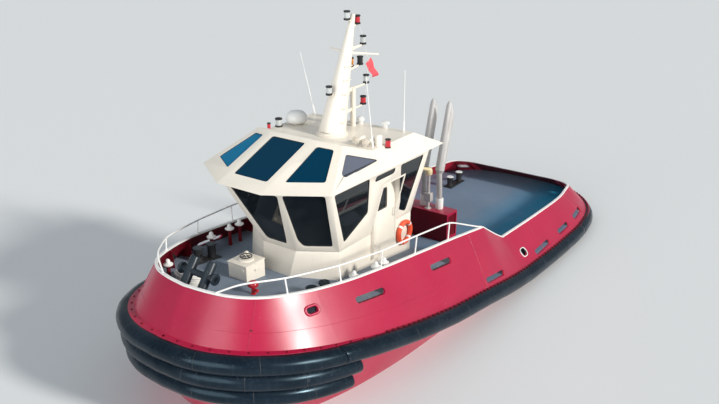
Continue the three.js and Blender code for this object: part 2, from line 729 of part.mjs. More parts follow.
function makeCoaming() {
  const outer = faceted(COAMING_FACETS, HOUSE_CENTRE, 0, 0, SILL_Z - GAP);
  const room = faceted(COAMING_FACETS, HOUSE_CENTRE, WALL, FLOOR_Z, 4000);
  const deckBelow = sideProfile([[-FAR, -FAR], [FAR, -FAR], [FAR, foredeckZ(FAR) + GAP],
    [-FAR, foredeckZ(-FAR) + GAP]], -FAR, FAR);
  return cut(outer, room, deckBelow, doorNotch(1, GAP), doorNotch(-1, GAP));
}

// Windows of the raked band, as corner points on its outer face, for the port side or the centre
const BAND_WINDOWS = [
  [[6450, 800, 5000], [6450, -800, 5000], [5720, -390, 3540], [5630, -330, 3360], [5630, 330, 3360],
    [5720, 390, 3540]],
  ...both([[6510, 990, 5050], [5970, 1850, 5060], [5120, 1400, 3370], [5500, 770, 3370], [5690, 740, 3560]]),
  ...both([[4830, 1530, 3410], [4000, 1680, 3980], [4320, 1960, 5060], [5760, 1960, 5060]]),
  ...both([[4030, 1910, 4860], [3140, 1910, 4860], [3140, 1950, 5030], [4030, 1950, 5030]]),
  ...both([[2900, 1950, 5030], [1760, 1950, 5020], [1950, 1510, 3320], [2350, 1560, 3500], [2400, 1620, 3800]]),
  ...both([[1560, 350, 3900], [1560, 1250, 3900], [1530, 1350, 4950], [1530, 350, 4950]]),
];

function makeBand() {
  const outer = faceted(BAND_FACETS, HOUSE_CENTRE, 0, SILL_Z, BROW_Z - GAP);
  const room = faceted(BAND_FACETS, HOUSE_CENTRE, WALL, 0, 9000);
  const shell = cut(outer, room, doorNotch(1, 0), doorNotch(-1, 0), ...BAND_WINDOWS.map((w) => paneCutter(w)));
  return join(shell, makeDoorFrame(1), makeDoorFrame(-1));
}

// Visor: the faceted top, with a brow that overhangs the band all round
const VISOR_LOW_FACETS = [
  [[6900, 700, 5150], [6900, -700, 5150], [4880, 710, 5970]],
  ...both([[6900, 700, 5150], [6020, 2075, 5150], [4880, 710, 5970]]),
  ...both([[6020, 2075, 5150], [4640, 1380, 5890], [3870, 1715, 5630]]),
  ...both([[6020, 2075, 5150], [930, 2075, 5150], [3870, 1715, 5630]]),
  [[930, 2075, 5150], [930, -2075, 5150], [1930, 0, 5630]],
];
const RIDGE_FACETS = [
  [[4880, 710, 5970], [4880, -710, 5970], [3870, 0, 5630]],
  ...both([[4880, 710, 5970], [4640, 1380, 5890], [3870, 1715, 5630]]),
];
const VISOR_INSIDE = [4500, 0, 5400];
const VISOR_WINDOWS = [
  [[6490, 530, 5316], [6490, -530, 5316], [5040, -530, 5905], [5040, 530, 5905]],
  ...both([[6300, 920, 5330], [5780, 1720, 5340], [4870, 1280, 5820], [5020, 870, 5870]]),
  ...both([[5280, 1900, 5340], [5310, 1830, 5420], [4750, 1550, 5730], [3920, 1900, 5420]]),
];

function visorVolume(depth, bottom) {
  const low = faceted(VISOR_LOW_FACETS, VISOR_INSIDE, depth, bottom, ROOF_Z - depth);
  const ridge = faceted([...VISOR_LOW_FACETS, ...RIDGE_FACETS], VISOR_INSIDE, depth, bottom, 9000);
  return join(low, ridge);
}

function makeVisor() {
  const room = visorVolume(WALL, BROW_Z + WALL);
  const well = faceted(BAND_FACETS, HOUSE_CENTRE, WALL, BROW_Z - 500, BROW_Z + WALL + 5);
  return cut(visorVolume(0, BROW_Z), room, well, ...VISOR_WINDOWS.map((w) => paneCutter(w, 60)));
}

addPart('wheelhouse_coaming', toGeometry(makeCoaming()), MATERIALS.cream);
addPart('wheelhouse_band', toGeometry(makeBand()), MATERIALS.cream);

// Roof gear fused with the visor: whip antennas, horns, domes and lamps.
// Columns: foot x, foot y, tip x, tip y, tip z.
const WHIPS = [
  [2010, -1600, 2010, -2100, 7370],
  [3650, 1580, 3650, 1360, 7420],
  [2010, 1450, 2010, 1450, 7300],
];
const WHIP_SOCKET = 300;
const SIDELIGHT_FOOT = 5500;
// Trumpet horns. Columns: x, y of the mouth and the radius there.
const HORNS = [[3760, 1120, 110], [3780, 1430, 105]];

function makeWhip(x, y, tipX, tipY, tipZ) {
  const seat = ROOF_Z - 20;
  const at = (z) => [x + (tipX - x) * ((z - seat) / (tipZ - seat)), y + (tipY - y) * ((z - seat) / (tipZ - seat)), z];
  const socket = rodBetween([x, y, seat], at(seat + WHIP_SOCKET), 26, 24, 8);
  return join(socket, rodBetween(at(seat + WHIP_SOCKET - 30), [tipX, tipY, tipZ], 12, 8, 6));
}

function makeHorn(x, y, radius) {
  const z = ROOF_Z + 125;
  return join(
    rodBetween([x - 250, y, ROOF_Z - 20], [x - 250, y, z], 28, 28, 6),
    rodBetween([x - 350, y, z], [x - 180, y, z], 65, 55, 10),
    rodBetween([x - 200, y, z], [x, y, z], 40, radius, 12),
  );
}

function makeRoofGear() {
  const seat = ROOF_Z - 20;
  return join(
    ...WHIPS.map((row) => makeWhip(...row)),
    ...HORNS.map((row) => makeHorn(...row)),
    turned([[0, 0], [70, 0], [70, 90], [110, 110], [110, 160], [60, 210], [0, 220]], 2050, 50, seat, 16),
    turned([[0, 0], [55, 0], [55, 120], [115, 130], [115, 170], [0, 200]], 2000, 850, seat, 14),
    turned([[0, 0], [90, 0], [90, 300], [0, 320]], 3450, 1620, seat, 12),
    turned([[0, 0], [75, 0], [75, 310], [0, 310]], 3300, 1800, SIDELIGHT_FOOT, 12),
    turned([[0, 0], [50, 0], [50, 220], [0, 220]], 4000, -1600, seat, 10),
  );
}

addPart('wheelhouse_visor', toGeometry(join(makeVisor(), makeRoofGear())), MATERIALS.cream);

// Glass: one glazed strip stands behind the band's windows, another behind the visor's
function makeGlassLower() {
  const outer = faceted(BAND_FACETS, HOUSE_CENTRE, WALL + GAP, 3260, 5110);
  const inner = faceted(BAND_FACETS, HOUSE_CENTRE, WALL + GAP + GLASS, 0, 9000);
  const gap = (side) => box(FRAME_X[0] - 30, FRAME_X[1] + 30, ...yRange(side, 500, 4000), 0, FRAME_Z[1] + 30);
  return cut(outer, inner, gap(1), gap(-1));
}

function makeGlassUpper() {
  const front = VISOR_LOW_FACETS.slice(0, 5);
  const roofBack = [[4880, 0, 5860], [4880, 100, 5860], [3870, 0, 5520]];
  const bounds = faceted([...front, roofBack], VISOR_INSIDE, WALL + GAP, BROW_Z + WALL + GAP, ROOF_Z + 400);
  const inner = faceted(front, VISOR_INSIDE, WALL + GAP + GLASS, 0, 9000);
  const forward = box(3800, 9000, -4000, 4000, 0, 9000);
  return cut(bounds.intersect(forward).intersect(visorVolume(WALL + GAP, BROW_Z + WALL + GAP)), inner);
}

addPart('glass_lower', toGeometry(makeGlassLower()), MATERIALS.glass);
addPart('glass_upper', toGeometry(makeGlassUpper()), MATERIALS.glass);

function makeDoor(side) {
  const y = yRange(side, DOOR_FACE_Y - DOOR_THICKNESS, DOOR_FACE_Y);
  const [wx0, wx1, wz0, wz1] = DOOR_WINDOW;
  const panel = box(...DOOR_X, ...y, ...DOOR_Z);
  const handle = pipeRun([
    [2640, side * (DOOR_FACE_Y - 20), 3450],
    [2640, side * (DOOR_FACE_Y + 60), 3450],
    [2640, side * (DOOR_FACE_Y + 60), 3650],
    [2640, side * (DOOR_FACE_Y - 20), 3650],
  ], 12, 6);
  const knuckles = HINGE.heights.map((z) => hingeKnuckle(side, z, false));
  return join(cut(panel, box(wx0, wx1, ...yRange(side, 1000, 3000), wz0, wz1)), handle, ...knuckles);
}

function makeDoorGlass(side) {
  const [wx0, wx1, wz0, wz1] = DOOR_WINDOW;
  const y = yRange(side, DOOR_FACE_Y - DOOR_THICKNESS / 2 - GLASS / 2, DOOR_FACE_Y - DOOR_THICKNESS / 2 + GLASS / 2);
  return box(wx0 + GAP, wx1 - GAP, ...y, wz0 + GAP, wz1 - GAP);
}

for (const [name, side] of [['port', 1], ['starboard', -1]]) {
  addPart(`door_${name}`, toGeometry(makeDoor(side)), MATERIALS.cream);
  addPart(`door_glass_${name}`, toGeometry(makeDoorGlass(side)), MATERIALS.glass);
}

// Inside the wheelhouse: the steering console and the helm seat
const floorTop = FLOOR_Z + GAP;
const consoleProfile = [[4250, floorTop], [4850, floorTop], [5000, 3150], [4750, 3300], [4200, 3150]];
addPart('helm_console', toGeometry(join(
  sideProfile(consoleProfile, -850, 850),
  box(4550, 4700, -60, 60, 3200, 3420),
)), MATERIALS.interior);
addPart('helm_seat', toGeometry(join(
  turned([[0, 0], [230, 0], [230, 30], [50, 60], [50, 480], [0, 480]], 3500, 0, floorTop, 16),
  box(3270, 3730, -240, 240, floorTop + 450, floorTop + 560),
  box(3250, 3340, -230, 230, floorTop + 500, floorTop + 1200),
)), MATERIALS.interior);

// Mast: a raked tapering pole on the roof with a swept yard and its lamps
const MAST = { x0: 3290, x1: 2320, top: 8650, r0: 370, r1: 60 };
const MAST_SEAT = ROOF_Z + GAP;
const mastX = (z) => THREE.MathUtils.mapLinear(z, ROOF_Z, MAST.top, MAST.x0, MAST.x1);

// Lamps on brackets. Columns: x, z of the lamp's foot, radius, height, depth of the bracket's gusset.
const MAST_LAMPS = [
  [2590, 8540, 90, 230, 60],
  [2140, 8380, 90, 230, 120],
  [1870, 7810, 90, 230, 280],
  [2380, 7290, 50, 240, 60],
  [2010, 7280, 90, 220, 260],
  [1720, 6720, 90, 230, 330],
  [1860, 6150, 90, 230, 300],
  [3390, 6710, 90, 230, 200],
];
const BRACKET_HALF = 14;

function makeMastLamp(x, z, radius, height, gusset) {
  const beyondLamp = x + Math.sign(x - mastX(z)) * radius * 0.8;
  const plate = [[beyondLamp, z - 24], [beyondLamp, z], [mastX(z), z], [mastX(z - gusset), z - gusset - 24]];
  return join(
    sideProfile(plate, -BRACKET_HALF, BRACKET_HALF),
    turned([[0, -10], [radius, -10], [radius, height], [0, height]], x, 0, z, 12),
  );
}

function makeMast() {
  const axis = (z) => [mastX(z), 0, z];
  const foot = turned([[0, 0], [430, 0], [430, 40], [380, 60], [0, 60]], MAST.x0, 0, MAST_SEAT, 24);
  const pole = rodBetween(axis(ROOF_Z - 100), axis(MAST.top), MAST.r0 + 10, MAST.r1, 20);
  const below = box(0, 6000, -1500, 1500, ROOF_Z - 1000, MAST_SEAT);
  const yard = bothSides((side) => rodBetween([2620, 0, 7680], [2280, side * 800, 7680], 48, 22, 8));
  const post = rodBetween([2340, 0, MAST_SEAT], [2340, 0, 6700], 75, 75, 12);
  return join(cut(join(foot, pole), below), yard, post, ...MAST_LAMPS.map((row) => makeMastLamp(...row)));
}

addPart('mast', toGeometry(makeMast()), MATERIALS.cream);
addPart('radar_dome', toGeometry(turned([[0, 0], [120, 0], [120, 40], [280, 90], [300, 160], [285, 240], [220, 320],
  [110, 370], [0, 380]], 3100, -1380, ROOF_Z + GAP, 24)), MATERIALS.white);
addPart('signal_lamp', toGeometry(turned([[0, 0], [100, 0], [100, 40], [85, 50], [85, 190], [100, 200], [100, 240],
  [0, 240]], 3600, -1600, ROOF_Z + GAP, 16)), MATERIALS.cream);

// Engine casing with its twin exhausts and the monitor on a stand
const CASING_TOP = 1800;
const CASING_HALF = 850;
const CASING_PROFILE = [[-1700, 0], [-1700, CASING_TOP], [-2350, CASING_TOP], [-2350, 0]];
const afterdeckBelow = sideProfile([[-FAR, -FAR], [BREAK_X, -FAR], [BREAK_X, AFTERDECK_BREAK_Z + GAP],
  [AFTERDECK_KINK_X, AFTERDECK_Z + GAP], [-FAR, AFTERDECK_Z + GAP]], -FAR, FAR);
addPart('engine_casing', toGeometry(cut(sideProfile(CASING_PROFILE, -CASING_HALF, CASING_HALF), afterdeckBelow)),
  MATERIALS.crimson);

// Each exhaust leans forward to a bend, then aft to a long slanted mouth
const EXHAUST = { y: 300, foot: [-2120, CASING_TOP + GAP], bend: [-2020, 3050], tip: [-2660, 5360] };
const EXHAUST_MOUTH = [[-2530, 0, 5400], [-2530, 100, 5400], [-2800, 0, 4550]];

function makeExhaust(side) {
  const y = side * EXHAUST.y;
  const place = ([x, z]) => [x, y, z];
  const [foot, bend, tip] = [EXHAUST.foot, EXHAUST.bend, EXHAUST.tip].map(place);
  const upper = (t) => [0, 1, 2].map((k) => bend[k] + (tip[k] - bend[k]) * t);
  const lower = (t) => [0, 1, 2].map((k) => foot[k] + (bend[k] - foot[k]) * t);
  const pipes = join(
    rodBetween(lower(-0.05), bend, 95, 95, 12),
    ball(bend, 118, 12),
    rodBetween(bend, upper(0.04), 105, 150, 14),
    rodBetween(upper(0.039), upper(1.08), 150, 150, 14),
    turned([[0, 0], [130, 0], [130, 360], [0, 360]], foot[0] + 12, y, foot[2], 16),
  );
  const mouth = beyond(EXHAUST_MOUTH, [-2200, 0, 3500], 0);
  const bore = rodBetween(upper(0.6), upper(1.2), 120, 120, 14);
  return cut(pipes, mouth, bore, box(-4000, 0, -900, 900, 0, foot[2]));
}

addPart('exhaust_port', toGeometry(makeExhaust(1)), MATERIALS.stainless);
addPart('exhaust_starboard', toGeometry(makeExhaust(-1)), MATERIALS.stainless);

addPart('monitor', toGeometry(join(
  turned([[0, 0], [110, 0], [110, 25], [50, 40], [50, 1250], [0, 1250]], -1880, 0, CASING_TOP + GAP, 14),
  box(-1990, -1790, -130, 130, 2060, 2360),
  turned([[0, 0], [110, 0], [125, 90], [110, 170], [60, 230], [0, 240]], -1880, 0, 3000, 16),
  rodBetween([-1880, 0, 3160], [-1420, 0, 3330], 65, 50, 12),
)), MATERIALS.cream);

// Towing gear on deck
const TOW_BITT = {
  y: 280,
  foot: [8980, 2691],
  top: [8116, 3797],
  radius: 115,
  bar: { x: 8325, z: 3530, half: 560, radius: 82 },
  disc: { radius: 140, thickness: 50 },
};
const foredeckBelow = sideProfile([[-FAR, -FAR], [FAR, -FAR], [FAR, foredeckZ(FAR) + GAP],
  [-FAR, foredeckZ(-FAR) + GAP]], -FAR, FAR);

function makeTowBitt() {
  const { y, foot, top, radius, bar, disc } = TOW_BITT;
  const leg = (side) => rodBetween([foot[0], side * y, foot[1]], [top[0], side * y, top[1]], radius, radius, 14);
  const across = (from, to, r) => rodBetween([bar.x, from, bar.z], [bar.x, to, bar.z], r, r, 14);
  const discs = [1, -1].map((side) => across(side * (bar.half - disc.thickness), side * bar.half, disc.radius));
  return cut(join(leg(1), leg(-1), across(-bar.half, bar.half, bar.radius), ...discs), foredeckBelow);
}

addPart('tow_bitt', toGeometry(makeTowBitt()), MATERIALS.black);

function makeBitts(xs, y, deckZ, height, below) {
  const side = Math.sign(y);
  const x0 = Math.min(...xs) - 190;
  const x1 = Math.max(...xs) + 190;
  const base = box(x0, x1, y - 170, y + 170, deckZ(x0) - 60, deckZ(x1) + 60);
  const posts = xs.map((x) => turned([[0, 0], [110, 0], [110, height - 60], [145, height - 50], [145, height],
    [0, height]], x, y, deckZ(x) - 60, 14));
  const horn = rodBetween([xs[0], y, deckZ(xs[0]) + height * 0.6], [xs[0], y - side * 230, deckZ(xs[0]) + height * 0.6],
    35, 35, 8);
  return cut(join(base, ...posts, horn), below);
}

addPart('bitts_bow_port', toGeometry(makeBitts([6600, 6120], 1900, foredeckZ, 480, foredeckBelow)), MATERIALS.black);
addPart('bitts_bow_starboard', toGeometry(makeBitts([6600, 6120], -1900, foredeckZ, 480, foredeckBelow)),
  MATERIALS.black);
addPart('bitts_aft', toGeometry(makeBitts([-6780, -7500], -1900, afterdeckZ, 500, afterdeckBelow)), MATERIALS.black);

// Deck locker with a hinged lid and a handwheel hatch
const LOCKER = { x0: 6080, x1: 6750, y0: -660, y1: -40, top: 3020 };
addPart('locker', toGeometry(cut(
  box(LOCKER.x0, LOCKER.x1, LOCKER.y0, LOCKER.y1, 2300, LOCKER.top),
  box(LOCKER.x0 + 30, LOCKER.x1 - 30, LOCKER.y0 + 30, LOCKER.y1 - 30, 2720, 4000),
  foredeckBelow,
)), MATERIALS.cream);
const lidBottom = LOCKER.top + GAP;
addPart('locker_lid', toGeometry(join(
  box(LOCKER.x0, LOCKER.x1 + 20, LOCKER.y0 - 20, LOCKER.y1 + 20, lidBottom, lidBottom + 30),
  turned([[0, 0], [200, 0], [200, 30], [180, 60], [40, 70], [40, 130], [0, 130]], 6420, -350, lidBottom + 20, 20),
)), MATERIALS.cream);

addPart('hydrant', toGeometry(cut(join(
  turned([[0, 0], [70, 0], [70, 180], [45, 200], [45, 360], [95, 370], [95, 400], [0, 410]], 7150, 550,
    foredeckZ(7150) - 60, 14),
  rodBetween([7150, 550, foredeckZ(7150) + 120], [7150, 700, foredeckZ(7150) + 120], 45, 45, 10),
), foredeckBelow)), MATERIALS.red);

// Life ring on the port wall
function makeLifeRing() {
  const geometry = new THREE.TorusGeometry(300, 68, 8, 20);
  geometry.rotateX(Math.PI / 2);
  geometry.translate(2000, WALL_Y + 68 + GAP, 2700);
  return toSolid(geometry);
}

addPart('life_ring', toGeometry(makeLifeRing()), MATERIALS.orange);

// Propulsion: two turning thrusters under the stern, each with a propeller in a nozzle
const NOZZLE_Z = -2030;
const NOZZLE_X0 = -820;
const NOZZLE_X1 = -250;
const NOZZLE_RADII = { mouth: 900, exit: 820, inner: 720 };
const POD_RADIUS = 200;

function onAxis(geometry, x, y) {
  geometry.rotateZ(-Math.PI / 2);
  geometry.translate(x, y, NOZZLE_Z);
  return toSolid(geometry);
}

function makeThruster(side) {
  const x = THRUSTER_X;
  const y = side * THRUSTER_Y;
  const stem = rodBetween([x, y, HEADBOX_BOTTOM - 20], [x, y, NOZZLE_Z], 230, 190, 20);
  const crown = rodBetween([x, y, HEADBOX_BOTTOM - GAP], [x, y, HEADBOX_BOTTOM - 80], 420, 300, 24);
  const pod = onAxis(new THREE.LatheGeometry([[0, -560], [90, -560], [POD_RADIUS, -400], [POD_RADIUS, 150],
    [150, 300], [60, 380], [0, 400]].map(([r, h]) => new THREE.Vector2(r, h)), 20), x, y);
  const ringProfile = [[NOZZLE_RADII.inner, NOZZLE_X0], [NOZZLE_RADII.exit, NOZZLE_X0],
    [NOZZLE_RADII.mouth, NOZZLE_X1 - 120], [NOZZLE_RADII.mouth - 40, NOZZLE_X1], [NOZZLE_RADII.inner + 60, NOZZLE_X1],
    [NOZZLE_RADII.inner, NOZZLE_X1 - 150], [NOZZLE_RADII.inner, NOZZLE_X0]];
  const nozzle = onAxis(new THREE.LatheGeometry(ringProfile.map(([r, h]) => new THREE.Vector2(r, h)), 28), x, y);
  const struts = [Math.PI / 2, Math.PI * (7 / 6), Math.PI * (11 / 6)].map((angle) => rodBetween(
    [x - 330, y, NOZZLE_Z], [x - 330, y + 800 * Math.cos(angle), NOZZLE_Z - 800 * Math.sin(angle)], 45, 45, 8));
  return join(stem, crown, pod, nozzle, ...struts);
}

const BLADES = 4;
const BLADE_PITCH = 0.6;
const PROP_X = -640;
const PROP_RADIUS = 690;

function makePropeller(side) {
  const x = THRUSTER_X;
  const y = side * THRUSTER_Y;
  const hub = onAxis(new THREE.LatheGeometry([[0, -760], [60, -745], [120, -690], [140, -560 - GAP], [0, -560 - GAP]]
    .map(([r, h]) => new THREE.Vector2(r, h)), 20), x, y);
  const blades = [];
  for (let i = 0; i < BLADES; i++) {
    const shape = new THREE.Shape([[-70, 60], [70, 60], [210, 380], [190, 600], [60, PROP_RADIUS], [-60, PROP_RADIUS],
      [-190, 600], [-210, 380]].map(([a, b]) => new THREE.Vector2(a, b)));
    const geometry = new THREE.ExtrudeGeometry(shape, { depth: 22, bevelEnabled: false });
    geometry.translate(0, 0, -11);
    geometry.rotateX(Math.PI / 2);
    geometry.rotateZ(Math.PI / 2 + side * BLADE_PITCH);
    geometry.rotateX((2 * Math.PI * i) / BLADES);
    blades.push(geometry);
  }
  const turnedBlades = blades.map((geometry) => {
    geometry.translate(x + PROP_X, y, NOZZLE_Z);
    return toSolid(geometry);
  });
  return join(hub, ...turnedBlades);
}

for (const [name, side] of [['port', 1], ['starboard', -1]]) {
  addPart(`thruster_${name}`, toGeometry(makeThruster(side)), MATERIALS.black);
  addPart(`propeller_${name}`, toGeometry(makePropeller(side)), MATERIALS.bronze);
}

export default tug;
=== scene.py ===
"""Visual model of a compact harbour tugboat: every piece is an operator of the panel at the end."""

import math

import bpy
from mathutils import Matrix, Vector


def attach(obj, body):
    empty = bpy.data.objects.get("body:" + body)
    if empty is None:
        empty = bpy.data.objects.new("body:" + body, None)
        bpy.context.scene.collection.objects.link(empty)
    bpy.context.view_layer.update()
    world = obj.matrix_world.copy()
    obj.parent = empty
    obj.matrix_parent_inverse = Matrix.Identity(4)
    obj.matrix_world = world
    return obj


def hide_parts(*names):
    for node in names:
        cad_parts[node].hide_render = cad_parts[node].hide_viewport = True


bl_info = {
    "name": "Harbour Tugboat",
    "version": (1, 0, 0),
    "blender": (4, 5, 0),
    "location": "View3D > Sidebar > Tugboat",
    "description": "Models a harbour tugboat piece by piece around its solid frame",
    "category": "Add Mesh",
}

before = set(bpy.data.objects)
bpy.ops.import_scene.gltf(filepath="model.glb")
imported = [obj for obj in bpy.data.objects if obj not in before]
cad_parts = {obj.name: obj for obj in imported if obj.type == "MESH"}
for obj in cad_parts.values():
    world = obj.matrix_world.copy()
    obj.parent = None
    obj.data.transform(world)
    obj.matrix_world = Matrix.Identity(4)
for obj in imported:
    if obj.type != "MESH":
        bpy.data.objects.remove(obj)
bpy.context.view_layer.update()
ROOT = "tug"

# All sizes are metres: +X to the bow, +Y to port, +Z up, the waterline at zero.

# Half outline from stem to stern. Columns: flange x, y, z and cap x, y, z.
STATIONS = [
    (9.42, 0, 2.44, 8.80, 0, 3.40),
    (9.33, 0.85, 2.43, 8.70, 0.72, 3.39),
    (9.05, 1.50, 2.40, 8.50, 1.25, 3.36),
    (8.55, 2.08, 2.32, 8.10, 1.72, 3.31),
    (7.75, 2.60, 2.18, 7.35, 2.10, 3.22),
    (6.60, 3.03, 1.98, 6.30, 2.40, 3.10),
    (4.90, 3.37, 1.66, 4.75, 2.57, 2.92),
    (2.80, 3.56, 1.30, 2.75, 2.65, 2.68),
    (0.60, 3.64, 1.00, 0.60, 2.74, 2.43),
    (-0.40, 3.66, 0.85, -0.40, 2.79, 2.31),
    (-1.76, 3.65, 0.68, -1.76, 2.82, 1.50),
    (-4.50, 3.65, 0.56, -4.50, 2.86, 1.44),
    (-6.60, 3.58, 0.54, -6.45, 2.79, 1.36),
    (-7.95, 3.30, 0.54, -7.35, 2.64, 1.31),
    (-8.90, 2.75, 0.54, -8.08, 2.45, 1.30),
    (-9.55, 1.95, 0.54, -8.35, 1.90, 1.30),
    (-9.85, 1.00, 0.54, -8.39, 1.00, 1.30),
    (-9.92, 0, 0.54, -8.40, 0, 1.30),
]
# Hull below the flange. Columns: z, length scale of bow and stern, beam scale forward and aft.
HULL_LEVELS = [
    (0.0, 0.915, 0.94, 0.80, 0.90),
    (-0.75, 0.84, 0.86, 0.66, 0.82),
    (-1.45, 0.70, 0.22, 0.42, 0.62),
    (-1.75, 0.60, 0.12, 0.20, 0.30),
]
# Where along X the beam scale goes from the after one to the forward one
BEAM_BLEND = (-3.0, 2.5)
# Round the bow the hull stands almost upright behind the fenders, down to this share of the flange's height
FENDER_FOOT_SHARE, FENDER_FOOT_INSET = 0.47, 0.12
# Where along X the sides go over to the shape of the bow
BOW_BLEND = (5.5, 8.2)
# Samples from one station to the next
STEPS = 6
# Thickness of the bulwark, and a gap too small to see
WALL_T, HAIR = 0.06, 0.002

# The break between the decks, and the decks' slopes along X
BREAK_X = 1.4
FOREDECK_Z, FOREDECK_SLOPE = 1.83, 0.117
AFTERDECK_Z, AFTERDECK_SLOPE, AFTERDECK_LEVEL_X = 0.68, 0.13, -2.6
THRUSTER_X, THRUSTER_Y, NOZZLE_Z = -6.7, 1.6, -2.03
HEADBOX_RADIUS, HEADBOX_TOP, HEADBOX_BOTTOM = 0.52, -0.5, -1.12
SIDES = (("port", 1), ("starboard", -1))


def foredeck_z(x):
    return FOREDECK_Z + FOREDECK_SLOPE * x


def afterdeck_z(x):
    if x < AFTERDECK_LEVEL_X:
        return AFTERDECK_Z
    return AFTERDECK_Z + AFTERDECK_SLOPE * (x - AFTERDECK_LEVEL_X)


def deck_z(x):
    return foredeck_z(x) if x > BREAK_X else afterdeck_z(x)


# Small helpers


def lerp(a, b, t):
    return a + (b - a) * t


def smoothstep(x, lo, hi):
    t = min(max((x - lo) / (hi - lo), 0.0), 1.0)
    return t * t * (3 - 2 * t)


def spline_point(points, place):
    """Point on a centripetal curve through the points; place counts in points."""
    last = len(points) - 1
    i = min(int(place), last - 1)
    w = place - i
    p1, p2 = points[i], points[i + 1]
    p0 = points[i - 1] if i > 0 else p1 * 2 - p2
    p3 = points[i + 2] if i + 2 <= last else p2 * 2 - p1
    d0, d1, d2 = [max((b - a).length ** 0.5, 1e-6) for a, b in ((p0, p1), (p1, p2), (p2, p3))]
    t1 = ((p1 - p0) / d0 - (p2 - p0) / (d0 + d1) + (p2 - p1) / d1) * d1
    t2 = ((p2 - p1) / d1 - (p3 - p1) / (d1 + d2) + (p3 - p2) / d2) * d1
    a = p1 * 2 - p2 * 2 + t1 + t2
    b = p2 * 3 - p1 * 3 - t1 * 2 - t2
    return ((a * w + b) * w + t1) * w + p1


LAST = len(STATIONS) - 1


class Sample:
    """One place along the outline, with outward directions in plan."""

    def __init__(self, place):
        self.place = place
        self.flange, self.flange_out = self.point(0)
        self.cap, self.cap_out = self.point(3)

    def point(self, column):
        """The point on the curve through three columns of the stations, and its outward direction."""
        place, near = self.place, 0.01
        plan = [Vector((s[column], s[column + 1], 0)) for s in STATIONS]
        here = spline_point(plan, place)
        tangent = spline_point(plan, min(place + near, LAST)) - spline_point(plan, max(place - near, 0))
        out = Vector((tangent.y, -tangent.x, 0)).normalized()
        if place in (0, LAST):
            out = Vector((1 if place == 0 else -1, 0, 0))
            here.y = 0
        elif out.dot(Vector((here.x * 0.3, here.y, 0))) < 0:
            out.negate()
        row = min(int(place), LAST - 1)
        here.z = lerp(STATIONS[row][column + 2], STATIONS[row + 1][column + 2], place - row)
        return here, out

    def inside_flange(self, depth, rise=0.0):
        p = self.flange - self.flange_out * depth
        return Vector((p.x, p.y, p.z + rise))

    def inside_cap(self, depth, rise=0.0):
        p = self.cap - self.cap_out * depth
        return Vector((p.x, p.y, p.z + rise))

    def wall(self, mix, depth=0.0):
        """A point on the bulwark from its foot, 0, to its cap, 1."""
        return self.inside_flange(depth).lerp(self.inside_cap(depth), mix)

    def share(self, z):
        """How far up the bulwark a height lies, from 0 at its foot to 1 at its cap."""
        return (z - self.flange.z) / (self.cap.z - self.flange.z)

    def level(self, z, bow, stern, forward, aft):
        """The hull's side at one row of the levels below the flange."""
        x, y = self.flange.x, self.flange.y
        beam = lerp(aft, forward, smoothstep(x, *BEAM_BLEND))
        return Vector((x * (bow if x > 0 else stern), y * beam, z))

    @property
    def bow_share(self):
        """0 along the sides, 1 at the bow."""
        return smoothstep(self.flange.x, *BOW_BLEND)

    def straight_side(self, z):
        """A point on the straight line from the flange to the waterline."""
        mix = min(max((self.flange.z - z) / self.flange.z, 0), 1)
        point = self.flange.lerp(self.level(*HULL_LEVELS[0]), mix)
        point.z = z
        return point

    def fender_foot(self):
        z = self.flange.z * FENDER_FOOT_SHARE
        upright = self.inside_flange(FENDER_FOOT_INSET)
        upright.z = z
        return self.straight_side(z).lerp(upright, self.bow_share)


def samples(first=0, last=LAST, steps=STEPS):
    """Evenly spaced places along the outline."""
    count = round((last - first) * steps)
    return [Sample(first + i / steps) for i in range(count + 1)]


OUTLINE = samples()


def flipped(p):
    """A point's mirror image across the centreline."""
    return Vector((p.x, -p.y, p.z))


def both_sides(rows):
    """Rows of the port side followed by their mirror images, as one ring from the stem."""
    return rows + [[flipped(p) for p in row] for row in reversed(rows[1:-1])]


# Building blocks

# Steps round the corners of pipes and of window outlines
BEND_STEPS, CORNER_STEPS = 5, 6


def deselect():
    """Leaves nothing selected, in Object Mode."""
    if bpy.context.object and bpy.context.object.mode != "OBJECT":
        bpy.ops.object.mode_set(mode="OBJECT")
    bpy.ops.object.select_all(action="DESELECT")


def activate(obj):
    """Makes one object the only selected and active one."""
    deselect()
    obj.select_set(True)
    bpy.context.view_layer.objects.active = obj
    return obj


def edit(obj):
    """Enters Edit Mode with the whole mesh selected."""
    activate(obj)
    bpy.ops.object.mode_set(mode="EDIT")
    bpy.ops.mesh.select_all(action="SELECT")


def done():
    bpy.ops.object.mode_set(mode="OBJECT")


def remove(*objects):
    for obj in objects:
        bpy.data.objects.remove(obj)


def mesh_piece(name, verts, faces, edges=()):
    """A new object from plain mesh data."""
    mesh = bpy.data.meshes.new(name)
    mesh.from_pydata([tuple(v) for v in verts], list(edges), faces)
    mesh.validate()
    obj = bpy.data.objects.new(name, mesh)
    bpy.context.scene.collection.objects.link(obj)
    return obj


def outward(obj, merge=0.00005):
    """Merges doubled points and turns the normals outwards."""
    edit(obj)
    bpy.ops.mesh.remove_doubles(threshold=merge)
    bpy.ops.mesh.select_all(action="SELECT")
    bpy.ops.mesh.normals_make_consistent(inside=False)
    done()
    return obj


def loft(name, rows):
    """A closed skin over a ring of closed rows of points."""
    width = len(rows[0])
    verts = [p for row in rows for p in row]
    faces = []
    count = len(rows)
    for i in range(count):
        k = (i + 1) % count
        for j in range(width):
            n = (j + 1) % width
            faces.append((i * width + j, i * width + n, k * width + n, k * width + j))
    return outward(mesh_piece(name, verts, faces))


def modify(obj, kind, **settings):
    """Applies a modifier with the given settings."""
    activate(obj)
    modifier = obj.modifiers.new(kind.title(), kind)
    for key, value in settings.items():
        setattr(modifier, key, value)
    bpy.ops.object.modifier_apply(modifier=modifier.name)
    return obj


